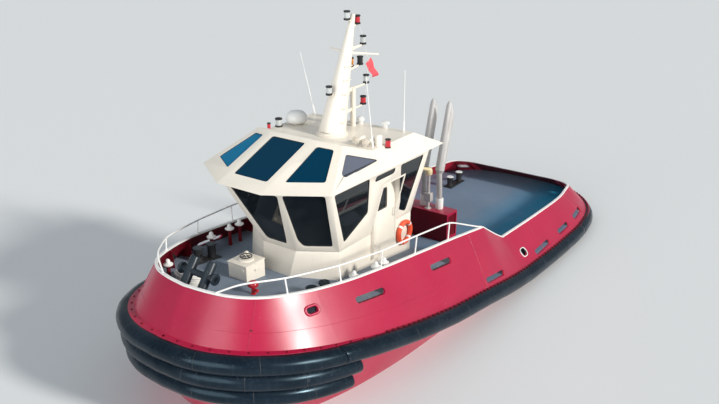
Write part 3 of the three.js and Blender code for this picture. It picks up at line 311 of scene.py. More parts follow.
def bevel(obj, width, segments, angle=32):
    return modify(obj, "BEVEL", width=width, segments=segments, limit_method="ANGLE",
                  angle_limit=math.radians(angle), harden_normals=False)


def cut(obj, *others, operation="DIFFERENCE"):
    """Takes other closed pieces off one, or joins them to it, and uses them up."""
    for other in others:
        modify(obj, "BOOLEAN", operation=operation, solver="MANIFOLD", object=other)
        remove(other)
    return obj


def bisect(obj, point, normal, keep_outer=False):
    """Cuts a closed piece at a plane; the side that the normal points away from stays."""
    edit(obj)
    bpy.ops.mesh.bisect(plane_co=point, plane_no=normal, use_fill=True, clear_inner=keep_outer,
                        clear_outer=not keep_outer)
    done()
    return obj


def slice_x(obj, x, keep_forward):
    """Cuts a closed piece at a plane across the boat and keeps one end."""
    return outward(bisect(obj, (x, 0, 0), (1, 0, 0), keep_forward))


def gather(name, pieces):
    """Joins separate meshes into one object."""
    deselect()
    for piece in pieces:
        piece.select_set(True)
    bpy.context.view_layer.objects.active = pieces[0]
    if len(pieces) > 1:
        bpy.ops.object.join()
    whole = bpy.context.view_layer.objects.active
    whole.name = name
    whole.data.name = name
    return whole


def settle(obj):
    """Applies an object's place, turn and scale to its mesh."""
    activate(obj)
    bpy.ops.object.transform_apply(location=True, rotation=True, scale=True)
    return obj


def finish(obj, paint, slot_name, body=ROOT, stands_for=(), angle=35):
    """Shades and paints a piece, hangs it under the empty of its body, and hides the solids that it stands
    for.
    """
    settle(obj)
    activate(obj)
    bpy.ops.object.shade_smooth_by_angle(angle=math.radians(angle))
    obj.data.materials.clear()
    obj.data.materials.append(MATERIALS[paint])
    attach(obj, body)
    if stands_for:
        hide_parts(*stands_for)
    return obj


def assemble(name, pieces, paint, slot_name, body=ROOT, stands_for=(), angle=35):
    """Joins separate meshes into one finished object."""
    return finish(gather(name, pieces), paint, slot_name, body, stands_for, angle)


def repaint(obj, paints, choose):
    """Gives the faces further paints: choose(face) counts them from 1, and 0 keeps the first."""
    for paint in paints:
        obj.data.materials.append(MATERIALS[paint])
    for face in obj.data.polygons:
        face.material_index = choose(face)


def twin_of(obj, name):
    """A copy with a mesh of its own."""
    activate(obj)
    bpy.ops.object.duplicate(linked=False)
    twin = bpy.context.view_layer.objects.active
    twin.name = name
    return twin


def copies(obj, placements):
    """Copies in place of the object, at (location, turn about Z)."""
    made = []
    for location, turn in placements:
        twin = twin_of(obj, obj.name)
        twin.location = location
        twin.rotation_euler.z = turn
        made.append(settle(twin))
    remove(obj)
    return made


def mirror_copy(obj, name):
    """The same piece on the other side of the centreline."""
    twin = twin_of(obj, name)
    for vertex in twin.data.vertices:
        vertex.co.y = -vertex.co.y
    twin.data.flip_normals()
    return twin


def pair(obj):
    """A port piece with its starboard copy."""
    return [obj, mirror_copy(obj, obj.name)]


def aim(obj, axis):
    """Turns an upright piece along an axis and settles it."""
    obj.rotation_mode = "QUATERNION"
    obj.rotation_quaternion = Vector((0, 0, 1)).rotation_difference(Vector(axis).normalized())
    return settle(obj)


def block(name, lo, hi, round_by=0.0, segments=3):
    """A box between two corners."""
    deselect()
    centre = (Vector(lo) + Vector(hi)) / 2
    bpy.ops.mesh.primitive_cube_add(size=1, location=centre)
    obj = bpy.context.active_object
    obj.name = name
    obj.scale = Vector(hi) - Vector(lo)
    settle(obj)
    if round_by:
        bevel(obj, round_by, segments)
    return obj


def rod(name, start, end, r0, r1=None, sides=24, round_by=0.0):
    """A cylinder or a cone between two points."""
    deselect()
    start, end = Vector(start), Vector(end)
    along = end - start
    bpy.ops.mesh.primitive_cone_add(vertices=sides, radius1=r0, radius2=r0 if r1 is None else r1,
                                    depth=along.length, location=(start + end) / 2)
    obj = bpy.context.active_object
    obj.name = name
    aim(obj, along)
    if round_by:
        bevel(obj, round_by, 3, angle=50)
    return obj


def ring(name, centre, major, minor, axis=(0, 0, 1), sides=48, section=12):
    """A torus round an axis."""
    deselect()
    bpy.ops.mesh.primitive_torus_add(major_radius=major, minor_radius=minor, major_segments=sides,
                                     minor_segments=section, location=centre)
    obj = bpy.context.active_object
    obj.name = name
    return aim(obj, axis)


def lathe(name, profile, origin=(0, 0, 0), axis=(0, 0, 1), steps=40):
    """A profile of (radius, height) spun round an axis through the origin."""
    verts = [(r, 0, h) for r, h in profile]
    obj = mesh_piece(name, verts, [], [(i, i + 1) for i in range(len(verts) - 1)])
    edit(obj)
    bpy.ops.mesh.spin(steps=steps, angle=2 * math.pi, center=(0, 0, 0), axis=(0, 0, 1))
    done()
    outward(obj, 0.0002)
    obj.location = origin
    return aim(obj, axis)


def rounded_path(points, radius):
    """Straight runs with their corners rounded off."""
    path = [Vector(points[0])]
    for before, here, after in zip(points, points[1:], points[2:]):
        a, b, c = Vector(before), Vector(here), Vector(after)
        reach = min(radius, (a - b).length / 2.2, (c - b).length / 2.2)
        start, end = b + (a - b).normalized() * reach, b + (c - b).normalized() * reach
        for i in range(BEND_STEPS + 1):
            t = i / BEND_STEPS
            path.append(start.lerp(b, t).lerp(b.lerp(end, t), t))
    path.append(Vector(points[-1]))
    return path


def pipe(name, points, radius, bend=0.0, closed=False, resolution=4):
    """A round bar along points, with its corners bent."""
    path = rounded_path(points, bend) if bend else [Vector(p) for p in points]
    curve = bpy.data.curves.new(name, "CURVE")
    curve.dimensions = "3D"
    curve.bevel_depth = radius
    curve.bevel_resolution = resolution
    curve.use_fill_caps = not closed
    spline = curve.splines.new("POLY")
    spline.points.add(len(path) - 1)
    for point, place in zip(spline.points, path):
        point.co = (*place, 1)
    spline.use_cyclic_u = closed
    obj = bpy.data.objects.new(name, curve)
    bpy.context.scene.collection.objects.link(obj)
    activate(obj)
    bpy.ops.object.convert(target="MESH")
    return outward(bpy.context.active_object)


def prism(name, outline, direction, low, high):
    """A flat outline given thickness along a direction."""
    direction = Vector(direction)
    count = len(outline)
    verts = [Vector(p) + direction * low for p in outline] + [Vector(p) + direction * high for p in outline]
    faces = [tuple(range(count)), tuple(range(count, 2 * count))]
    faces += [(i, (i + 1) % count, count + (i + 1) % count, count + i) for i in range(count)]
    return outward(mesh_piece(name, verts, faces))


def rounded_outline(points, radius):
    """Corner points joined by curves that start a radius away from each."""
    corners = [Vector(p) for p in points]
    count = len(corners)
    outline = []
    for i, here in enumerate(corners):
        before = (corners[i - 1] - here).normalized() * radius
        after = (corners[(i + 1) % count] - here).normalized() * radius
        for k in range(CORNER_STEPS + 1):
            t = k / CORNER_STEPS
            outline.append(here + before * (1 - t) ** 2 + after * t ** 2)
    return outline


def normal_of(points):
    """The normal of the plane through the first three points."""
    a, b, c = [Vector(p) for p in points[:3]]
    return (b - a).cross(c - a).normalized()


def facing_away(facet, inside):
    """The normal of a facet that points away from a point inside."""
    no = normal_of(facet)
    if no.dot(Vector(inside) - Vector(facet[0])) > 0:
        no.negate()
    return no


def clipped(name, lo, hi, facets, inside, depth=0.0):
    """A block cut down by planes, each given by three points and moved inwards by depth."""
    obj = block(name, lo, hi)
    for facet in facets:
        no = facing_away(facet, inside)
        bisect(obj, Vector(facet[0]) - no * depth, no)
    return outward(obj)


# Shader groups and materials


def feed(tree, socket, value):
    """Links another socket to this one, or sets its plain value."""
    if isinstance(value, bpy.types.NodeSocket):
        tree.links.new(value, socket)
    else:
        socket.default_value = value


def add_node(tree, kind, **inputs):
    """A node whose inputs, named with _ for spaces, are fed with sockets or plain values."""
    node = tree.nodes.new(kind)
    for label, value in inputs.items():
        feed(tree, node.inputs[label.replace("_", " ")], value)
    return node


def noise(tree, place, scale, detail):
    return add_node(tree, "ShaderNodeTexNoise", Vector=place, Scale=scale, Detail=detail).outputs["Fac"]


def ramp(tree, source, low, high, to_min=0.0, to_max=1.0):
    node = add_node(tree, "ShaderNodeMapRange", Value=source, From_Min=low, From_Max=high, To_Min=to_min,
                    To_Max=to_max)
    return node.outputs["Result"]


def calculate(tree, operation, *values, clamp=False):
    """A math node; each value is a socket or a number."""
    node = tree.nodes.new("ShaderNodeMath")
    node.operation = operation
    node.use_clamp = clamp
    for socket, value in zip(node.inputs, values):
        feed(tree, socket, value)
    return node.outputs[0]


def mixed(tree, factor, a, b, mode="MIX"):
    """A colour mix; each argument is a socket, a number or a colour."""
    node = tree.nodes.new("ShaderNodeMix")
    node.data_type = "RGBA"
    node.blend_type = mode
    for index, value in ((0, factor), (6, a), (7, b)):
        feed(tree, node.inputs[index], value)
    return node.outputs[2]


def rgba(colour):
    return (*colour, 1.0)


def new_group(name, inputs, outputs):
    """A shader group; gives its tree, what it is given, what it returns and the Object coordinates."""
    group = bpy.data.node_groups.new(name, "ShaderNodeTree")
    for label, default in inputs.items():
        kind = "NodeSocketFloat" if isinstance(default, float) else "NodeSocketColor"
        group.interface.new_socket(name=label, in_out="INPUT", socket_type=kind).default_value = default
    for label, kind in outputs.items():
        group.interface.new_socket(name=label, in_out="OUTPUT", socket_type=f"NodeSocket{kind}")
    given = group.nodes.new("NodeGroupInput").outputs
    result = group.nodes.new("NodeGroupOutput").inputs
    place = group.nodes.new("ShaderNodeTexCoord").outputs["Object"]
    return group, given, result, place


PALE, DULL = (0.8, 0.8, 0.8, 1), (0.4, 0.4, 0.4, 1)


def tone_group():
    """Clouds and downward streaks of a second tone."""
    group, given, result, place = new_group(
        "Weathered Tone", {"Color": PALE, "Shade": DULL, "Amount": 0.3, "Scale": 1.5, "Streaks": 0.2},
        {"Color": "Color"})
    stretched = add_node(group, "ShaderNodeMapping", Vector=place, Scale=(9.0, 9.0, 0.7)).outputs["Vector"]
    clouds = ramp(group, noise(group, place, given["Scale"], 5.0), 0.38, 0.75)
    runs = ramp(group, noise(group, stretched, 1.2, 3.0), 0.52, 0.8)
    total = calculate(group, "ADD", calculate(group, "MULTIPLY", clouds, given["Amount"]),
                      calculate(group, "MULTIPLY", runs, given["Streaks"]), clamp=True)
    feed(group, result["Color"], mixed(group, total, given["Color"], given["Shade"]))
    return group


def relief_group():
    """Fine grain over broad dents, with a little change of roughness."""
    group, given, result, place = new_group(
        "Plate Relief", {"Strength": 0.15, "Grain": 60.0, "Dents": 1.6},
        {"Normal": "Vector", "Roughness Shift": "Float"})
    fine = noise(group, place, given["Grain"], 3.0)
    broad = noise(group, place, given["Dents"], 1.0)
    height = calculate(group, "MULTIPLY_ADD", fine, 0.04, broad)
    bump = add_node(group, "ShaderNodeBump", Height=height, Strength=given["Strength"], Distance=0.02)
    feed(group, result["Normal"], bump.outputs["Normal"])
    feed(group, result["Roughness Shift"], ramp(group, broad, 0.3, 0.7, -0.06, 0.08))
    return group


def scuff_group():
    """Specks in patches."""
    group, given, result, place = new_group(
        "Salt And Scuffs", {"Color": PALE, "Scuff": DULL, "Amount": 0.3, "Scale": 14.0}, {"Color": "Color"})
    specks = ramp(group, noise(group, place, given["Scale"], 6.0), 0.6, 0.72)
    zones = ramp(group, noise(group, place, 1.1, 2.0), 0.45, 0.7)
    share = calculate(group, "MULTIPLY", calculate(group, "MULTIPLY", specks, zones), given["Amount"])
    feed(group, result["Color"], mixed(group, share, given["Color"], given["Scuff"]))
    return group


def painted_shade_group():
    """A wandering strip of painted shade along the port side, up to the bulwark, blue as shade under the sky.
    """
    group, given, result, place = new_group("Damp Strip", {"Color": PALE, "Damp": DULL}, {"Color": "Color"})
    across = add_node(group, "ShaderNodeSeparateXYZ", Vector=place).outputs["Y"]
    edge = calculate(group, "ADD", across, noise(group, place, 0.7, 3.0))
    share = calculate(group, "MULTIPLY", ramp(group, edge, 0.7, 2.2), ramp(group, across, 2.5, 2.8, 1.0, 0.0))
    feed(group, result["Color"], mixed(group, share, given["Color"], given["Damp"]))
    return group


def plates_group():
    """Slightly different tones for the hull's plates, seen from the side."""
    group, given, result, place = new_group("Hull Plates", {"Color": PALE, "Amount": 0.5}, {"Color": "Color"})
    parts = add_node(group, "ShaderNodeSeparateXYZ", Vector=place).outputs
    flat = add_node(group, "ShaderNodeCombineXYZ", X=parts["X"], Y=parts["Z"]).outputs["Vector"]
    plates = add_node(group, "ShaderNodeTexBrick", Vector=flat, Color1=(1, 1, 1, 1),
                      Color2=(0.72, 0.66, 0.70, 1), Mortar=(0.75, 0.7, 0.72, 1), Scale=1.0,
                      Mortar_Size=0.005, Brick_Width=1.3, Row_Height=0.46)
    toned = mixed(group, given["Amount"], given["Color"], plates.outputs["Color"], "MULTIPLY")
    feed(group, result["Color"], toned)
    return group


def new_material(name, **inputs):
    """A material with its node tree and its shader, whose inputs are set."""
    material = bpy.data.materials.new(name)
    material.use_nodes = True
    shader = material.node_tree.nodes["Principled BSDF"]
    for label, value in inputs.items():
        shader.inputs[label.replace("_", " ")].default_value = value
    return material, material.node_tree, shader


def shared(tree, group, **inputs):
    """A shared group in a material, with its inputs."""
    node = tree.nodes.new("ShaderNodeGroup")
    node.node_tree = group
    for label, value in inputs.items():
        feed(tree, node.inputs[label], value)
    return node.outputs


def finish_material(name, groups, colour, shade, roughness, amount=0.3, scale=1.5, streaks=0.2, scuff=None,
                    scuff_amount=0.3, relief=0.12, grain=60.0, dents=1.6, metallic=0.0, coat=0.0,
                    coat_roughness=0.12, specular=0.5, tint=(1.0, 1.0, 1.0), painted_shade=None, plates=0.0):
    """A painted, rubber or metal finish from the shared groups."""
    material, tree, shader = new_material(
        name, Metallic=metallic, Coat_Weight=coat, Coat_Roughness=coat_roughness, Specular_IOR_Level=specular,
        Specular_Tint=rgba(tint))
    paint = shared(tree, groups["tone"], Color=rgba(colour), Shade=rgba(shade), Amount=amount, Scale=scale,
                   Streaks=streaks)["Color"]
    if scuff:
        paint = shared(tree, groups["scuffs"], Color=paint, Scuff=rgba(scuff), Amount=scuff_amount)["Color"]
    # Painted shade: a blue strip where the port bulwark's shadow falls, mixed into the paint.
    if painted_shade:
        paint = shared(tree, groups["painted_shade"], Color=paint, Damp=rgba(painted_shade))["Color"]
    if plates:
        paint = shared(tree, groups["plates"], Color=paint, Amount=plates)["Color"]
    bumps = shared(tree, groups["relief"], Strength=relief, Grain=grain, Dents=dents)
    feed(tree, shader.inputs["Base Color"], paint)
    feed(tree, shader.inputs["Normal"], bumps["Normal"])
    rough = calculate(tree, "ADD", bumps["Roughness Shift"], roughness, clamp=True)
    feed(tree, shader.inputs["Roughness"], rough)
    return material


# Panes and lenses. Columns: name, colour, roughness, transmission, specular.
PANES = [
    ("glass", (0.016, 0.024, 0.030), 0.03, 0.55, 0.28),
    ("visor_glass", (0.0, 0.036, 0.078), 0.04, 0.1, 0.06),
    # The next two panes' colours are painted reflections, of the sky and of the haze.
    ("visor_glass_sky", (0.0, 0.18, 0.36), 0.05, 0.1, 0.04),
    ("visor_glass_haze", (0.13, 0.145, 0.19), 0.06, 0.1, 0.2),
    ("lens_clear", (0.75, 0.78, 0.78), 0.08, 0.4, 0.6),
]
MATERIALS = {}


def make_materials(red, cream):
    groups = {"tone": tone_group(), "relief": relief_group(), "scuffs": scuff_group(), "painted_shade": painted_shade_group(),
              "plates": plates_group()}
    rows = {
        "crimson": dict(colour=red, shade=(red[0] * 0.72, red[1] * 0.6, red[2] * 0.66), roughness=0.34,
                        amount=0.35, scale=0.5, streaks=0.18, scuff=(0.75, 0.35, 0.42), scuff_amount=0.08,
                        relief=0.16, dents=0.9, coat=0.13, coat_roughness=0.20, plates=0.22),
        "maroon": dict(colour=(0.15, 0.004, 0.012), shade=(0.08, 0.003, 0.008), roughness=0.5, streaks=0.4,
                       specular=0.25),
        # Inside the after sides and quarters: a red brighter than the hull's paint, as painted light on inner
        # faces that look downwards.
        "inner_red": dict(colour=(0.74, 0.025, 0.06), shade=(0.45, 0.015, 0.035), roughness=0.5, streaks=0.5),
        "cream": dict(colour=cream, shade=(0.62, 0.55, 0.44), roughness=0.38, amount=0.16, scale=0.8,
                      streaks=0.10, relief=0.06, coat=0.2),
        "white": dict(colour=(0.84, 0.84, 0.82), shade=(0.55, 0.54, 0.5), roughness=0.4, amount=0.2,
                      streaks=0.1, relief=0.05),
        "deck": dict(colour=(0.205, 0.255, 0.325), shade=(0.14, 0.18, 0.24), roughness=0.60, amount=0.75,
                     scale=0.7, streaks=0.1, scuff=(0.24, 0.27, 0.3), scuff_amount=0.5, relief=0.35,
                     grain=240.0),
        # After deck: its paint carries a blue strip of painted shade along the port side.
        "deck_damp": dict(colour=(0.185, 0.250, 0.345), shade=(0.14, 0.195, 0.27), roughness=0.60, amount=0.7,
                          scale=0.5, streaks=0.1, scuff=(0.22, 0.27, 0.34), scuff_amount=0.4, relief=0.35,
                          grain=240.0, painted_shade=(0.010, 0.19, 0.34)),
        # Rubber: its blue specular tint is a painted reflection of the sky in the highlights.
        "rubber": dict(colour=(0.003, 0.007, 0.013), shade=(0.018, 0.028, 0.042), roughness=0.24, amount=0.45,
                       scale=1.2, streaks=0.4, scuff=(0.07, 0.085, 0.11), scuff_amount=0.5, relief=0.14,
                       specular=0.30, grain=120.0, tint=(0.55, 0.82, 1.0)),
        "slate": dict(colour=(0.012, 0.021, 0.030), shade=(0.035, 0.045, 0.055), roughness=0.30, amount=0.4,
                      streaks=0.3, scuff=(0.2, 0.2, 0.2), scuff_amount=0.5),
        "black": dict(colour=(0.012, 0.013, 0.015), shade=(0.03, 0.03, 0.03), roughness=0.5),
        "grey_top": dict(colour=(0.32, 0.36, 0.37), shade=(0.2, 0.22, 0.22), roughness=0.5),
        "stainless": dict(colour=(0.62, 0.60, 0.58), shade=(0.46, 0.42, 0.40), roughness=0.42, amount=0.45,
                          streaks=0.6, metallic=0.35, relief=0.05),
        "bronze": dict(colour=(0.45, 0.29, 0.12), shade=(0.22, 0.16, 0.08), roughness=0.35, metallic=0.95,
                       amount=0.5),
        "orange": dict(colour=(0.83, 0.10, 0.035), shade=(0.6, 0.07, 0.02), roughness=0.55, relief=0.2),
        "interior": dict(colour=(0.03, 0.032, 0.035), shade=(0.015, 0.016, 0.018), roughness=0.7),
        "red": dict(colour=(0.55, 0.015, 0.03), shade=(0.3, 0.01, 0.02), roughness=0.35, coat=0.3),
        "seal": dict(colour=(0.03, 0.032, 0.034), shade=(0.05, 0.05, 0.05), roughness=0.6),
        "rope": dict(colour=(0.82, 0.81, 0.77), shade=(0.5, 0.49, 0.45), roughness=0.8, amount=0.4,
                     relief=0.3, grain=90.0),
        "flag_red": dict(colour=(0.80, 0.10, 0.12), shade=(0.6, 0.05, 0.07), roughness=0.8),
        "brass_cream": dict(colour=(0.80, 0.68, 0.42), shade=(0.5, 0.38, 0.2), roughness=0.4),
        "amber": dict(colour=(0.8, 0.28, 0.02), shade=(0.6, 0.2, 0.02), roughness=0.3),
        "antifouling": dict(colour=(0.20, 0.018, 0.028), shade=(0.10, 0.014, 0.018), roughness=0.65,
                            amount=0.6, streaks=0.4),
    }
    for name, row in rows.items():
        MATERIALS[name] = finish_material(name, groups, **row)
    for name, colour, roughness, transmission, specular in PANES:
        MATERIALS[name] = new_material(
            name, Base_Color=rgba(colour), Roughness=roughness, Transmission_Weight=transmission, IOR=1.45,
            Specular_IOR_Level=specular)[0]


# Settings of the add-on


class TugHullSettings(bpy.types.PropertyGroup):
    fender_radius: bpy.props.FloatProperty(
        name="Fender radius", description="Radius of the rubber tiers", default=0.235, min=0.1, max=0.3,
        unit="LENGTH")
    tier_pitch: bpy.props.FloatProperty(
        name="Tier pitch", description="Height from one bow tier to the next", default=0.42, unit="LENGTH")
    cap_width: bpy.props.FloatProperty(
        name="Cap width", description="Width of the bar on the bulwark", default=0.085, unit="LENGTH")
    hull_colour: bpy.props.FloatVectorProperty(
        name="Hull paint", description="Colour of the hull and bulwark", subtype="COLOR", size=3,
        default=(0.43, 0.0085, 0.052), min=0, max=1)


class TugHouseSettings(bpy.types.PropertyGroup):
    house_colour: bpy.props.FloatVectorProperty(
        name="House paint", description="Colour of the wheelhouse and mast", subtype="COLOR", size=3,
        default=(0.86, 0.80, 0.70), min=0, max=1)
    wall: bpy.props.FloatProperty(
        name="Wall", description="Thickness of the wheelhouse walls", default=0.06, unit="LENGTH")
    pane: bpy.props.FloatProperty(
        name="Pane", description="Thickness of the window glass", default=0.01, unit="LENGTH")


class TugStageSettings(bpy.types.PropertyGroup):
    sun: bpy.props.FloatProperty(
        name="Sun", description="Strength of the key light", default=3.1, min=0, max=20)
    front: bpy.props.FloatProperty(
        name="Front", description="Strength of the soft light from the bow", default=2.05, min=0, max=20)
    fill: bpy.props.FloatProperty(
        name="Fill", description="Strength of the sky", default=0.40, min=0, max=5)
    camera_place: bpy.props.FloatVectorProperty(
        name="Camera", description="Place of the camera", subtype="TRANSLATION", size=3,
        default=(19.31, 12.41, 11.64), unit="LENGTH")


class PieceOperator:
    """Shared part of the operators: settings and undo."""

    bl_options = {"REGISTER", "UNDO"}

    @property
    def hull(self):
        return bpy.context.scene.tug_hull

    @property
    def house(self):
        return bpy.context.scene.tug_house


class TUG_OT_materials(PieceOperator, bpy.types.Operator):
    """Makes the paints, rubber, metals and glass"""

    bl_idname = "tug.materials"
    bl_label = "Materials"

    def execute(self, context):
        make_materials(tuple(self.hull.hull_colour), tuple(self.house.house_colour))
        return {"FINISHED"}


# Hull

HULL_STEPS = 4
SKEG = [(6.0, 0, -1.4), (4.7, 0, -2.9), (-3.6, 0, -2.9), (-4.9, 0, -1.2)]
SKEG_HALF, SKEG_CORNER = 0.11, 0.3
# Below this height the hull has its dark bottom paint
BOTTOM_PAINT_Z = -0.1
# The ledge over the top fender: its width and the height of its face, along the side and at the bow
LIP_WIDTHS, LIP_RISES = (0.11, 0.15), (0.012, 0.022)
LIP_ROOT, LIP_UNDER = 0.02, -0.014
# Distance between the bolts of the ledge at the bow; its clamps along the sides stand twice as close
BOLT_PITCH = 0.41
CLAMP_HALF, CLAMP_HEIGHT = (0.05, 0.022), 0.045
BOLT = [(0, 0), (0.026, 0), (0.026, 0.012), (0.018, 0.018), (0, 0.018)]


def hull_column(s):
    """Points down the side at one sample, from the flange to the bottom."""
    points = [s.flange.copy(), s.fender_foot()] + [s.level(*row) for row in HULL_LEVELS]
    column = []
    for i in range(len(points) - 1):
        for k in range(HULL_STEPS):
            column.append(points[i].lerp(points[i + 1], k / HULL_STEPS))
    column.append(points[-1])
    return column


def filled_stack(name, port_rows):
    """A closed body from port-side columns, mirrored, with flat quads across top and bottom."""
    rows = both_sides(port_rows)
    count, width = len(rows), len(rows[0])
    verts = [p for row in rows for p in row]
    faces = []
    for i in range(count):
        k = (i + 1) % count
        for j in range(width - 1):
            faces.append((i * width + j, k * width + j, k * width + j + 1, i * width + j + 1))
    last = len(port_rows) - 1
    for j in (0, width - 1):
        for i in range(last):
            corners = [i, i + 1, (count - i - 1) % count, (count - i) % count]
            faces.append(tuple(dict.fromkeys(c * width + j for c in corners)))
    return outward(mesh_piece(name, verts, faces))


class TUG_OT_hull(PieceOperator, bpy.types.Operator):
    """Plates the hull with its skeg and the headboxes of the thrusters"""

    bl_idname = "tug.hull"
    bl_label = "Hull"

    def lip(self):
        """The ledge over the top fender."""
        rows = []
        for s in OUTLINE:
            width, rise = lerp(*LIP_WIDTHS, s.bow_share), lerp(*LIP_RISES, s.bow_share)
            section = ((LIP_ROOT, rise), (-width, rise), (-width - 0.005, rise - 0.006), (-width, LIP_UNDER),
                       (LIP_ROOT, LIP_UNDER))
            rows.append([s.inside_flange(depth, height) for depth, height in section])
        finish(loft("fender_lip", both_sides(rows)), "crimson", "hull_red")

    def clamps(self):
        """Clamps along the sides and bolts at the bow, which hold the ledge."""
        along, across = CLAMP_HALF
        clamp = block("lip_clamp", (-along, -across, 0), (along, across, CLAMP_HEIGHT), 0.006, 1)
        bolt = lathe("lip_bolt", BOLT, steps=10)
        clamps, bolts = [], []
        travelled = 0.0
        for a, b in zip(OUTLINE, OUTLINE[1:]):
            step = (b.flange - a.flange).length
            places, spacing = (bolts, BOLT_PITCH) if a.bow_share > 0.1 else (clamps, BOLT_PITCH / 2)
            inset, rise = -0.45 * lerp(*LIP_WIDTHS, a.bow_share), lerp(*LIP_RISES, a.bow_share)
            turn = math.atan2(-a.flange_out.x, a.flange_out.y)
            while travelled < step:
                p = a.inside_flange(inset, rise).lerp(b.inside_flange(inset, rise), travelled / step)
                places += [(p, turn), (flipped(p), -turn)]
                travelled += spacing
            travelled -= step
        assemble("lip_clamps", copies(clamp, clamps) + copies(bolt, bolts), "maroon", "hull_red")

    def execute(self, context):
        hull = filled_stack("hull_plating", [hull_column(s) for s in OUTLINE])
        skeg = prism("skeg", rounded_outline(SKEG, SKEG_CORNER), (0, 1, 0), -SKEG_HALF, SKEG_HALF)
        bevel(skeg, 0.03, 3, 60)
        boxes = [rod("headbox", (THRUSTER_X, side * THRUSTER_Y, HEADBOX_TOP),
                     (THRUSTER_X, side * THRUSTER_Y, HEADBOX_BOTTOM), HEADBOX_RADIUS, sides=48, round_by=0.02)
                 for _, side in SIDES]
        finish(hull, "crimson", "hull_red", stands_for=["hull"], angle=28)
        repaint(hull, ["antifouling"], lambda face: int(face.center.z < BOTTOM_PAINT_Z))
        assemble("skeg_and_headboxes", [skeg, *boxes], "antifouling", "hull_red")
        self.lip()
        self.clamps()
        return {"FINISHED"}


# Bulwark

# Freeing slots. Columns: centre x, centre z, length, height, slope along X.
SLOTS = [
    (5.42, 2.57, 1.05, 0.15, FOREDECK_SLOPE),
    (2.32, 2.23, 1.00, 0.15, FOREDECK_SLOPE),
    (0.10, 1.115, 1.10, 0.15, AFTERDECK_SLOPE),
    (-3.40, 0.755, 1.15, 0.14, 0.0),
    (-5.30, 0.755, 0.95, 0.14, 0.0),
    (-6.88, 0.755, 1.00, 0.14, 0.0),
]
# Fairleads. Columns: centre x, centre z, length, height, radius and material of the rim.
FAIRLEADS = [
    (7.18, 2.84, 0.33, 0.17, 0.034, "crimson"),
    (-2.25, 0.96, 0.34, 0.20, 0.016, "white"),
]
# How far the fairleads' black sleeves, painted shade inside the openings, reach inboard
LEAD_DEPTH = 0.13
# Oblong fairleads in the quarters, one on each side: centre y, centre z, length, height, radius of the rim
QUARTER_LEAD, QUARTER_RIM = (2.30, 0.96, 0.36, 0.12), 0.024
# Where the cutters for the slots and leads begin and end, across and along the boat
SIDE_CUT, QUARTER_CUT = (-5, 5), (-10.9, -7.9)
# Places up the bulwark where its walls have a row of points
WALL_ROWS = (0.002, 0.35, 0.7, 1.0)
# The plates meet at these lengths along the boat: bow to middle, middle to stern
PLATE_JOINTS = (6.9, -7.6)
# Upright welds, as places along the outline at the bulwark's foot and its cap
PLATE_SEAMS = [(2.59, 2.79), (7.9, 8.1), (10.6, 10.6), (12.4, 12.4), (14.0, 14.0)]
WELD_HEIGHTS, WELD_OUT, WELD_R, STRAKE_R = (0.01, 0.25, 0.5, 0.75, 0.97), -0.001, 0.009, 0.004
# The long weld's place up the bulwark, and its ends along the outline
STRAKE_HEIGHT, STRAKE_ENDS = 0.36, (1.5, 7.0)
DRAIN_PLACE, DRAIN_HEIGHT, DRAIN_RADIUS = 2.67, 0.40, 0.028
# Between the quarters the inside of the stern's bulwark carries painted shade in dark red, and there are no
# stays
QUARTER_X, QUARTER_Y = -8.0, 1.7
# The stays: foot's reach at most and for each metre of height, the after stays' reach, half thickness
STAY_REACH, STAY_SLOPE, STAY_AFT, STAY_HALF = 0.22, 0.34, 0.10, 0.006


def slot_outline(x, z, length, height, slope, steps=6):
    """An oblong with round ends, seen from the side."""
    r = height / 2
    reach = length / 2 - r
    points = []
    for centre, start in ((reach, -90), (-reach, 90)):
        for i in range(steps + 1):
            a = math.radians(start + 180 * i / steps)
            u, v = centre + r * math.cos(a), r * math.sin(a)
            points.append(Vector((x + u, 0, z + v + slope * u)))
    return points


def wall_place(x, z):
    """The sample of the bulwark nearest to a point seen from the side."""
    return min(samples(steps=20), key=lambda s: abs(s.wall(s.share(z)).x - x))


def stern_place(y, z, depth):
    """The point of the stern's bulwark at a height and a distance from the centreline."""
    points = [s.wall(s.share(z), depth) for s in samples(LAST - 4, steps=20)]
    nearest = min(points, key=lambda point: abs(point.y - y))
    return Vector((nearest.x, y, z))


def shaded_stern(point):
    """Whether a point lies between the quarters, where the stern's inside carries painted shade."""
    return point.x < QUARTER_X and abs(point.y) < QUARTER_Y


def quarter_outline(steps=6):
    """The outline of a quarter fairlead, seen along the boat."""
    return [Vector((0, p.x, p.z)) for p in slot_outline(*QUARTER_LEAD, 0, steps)]


def inside_paint(face):
    """Dark red inside the bow, and dark red as painted shade inside the stern; inside the after sides a red
    brighter than the hull's, as painted light.
    """
    centre = face.center
    if Vector((centre.x * 0.4, centre.y, 0)).dot(face.normal) >= -0.05:
        return 0
    return 1 if centre.x > BREAK_X or shaded_stern(centre) else 2


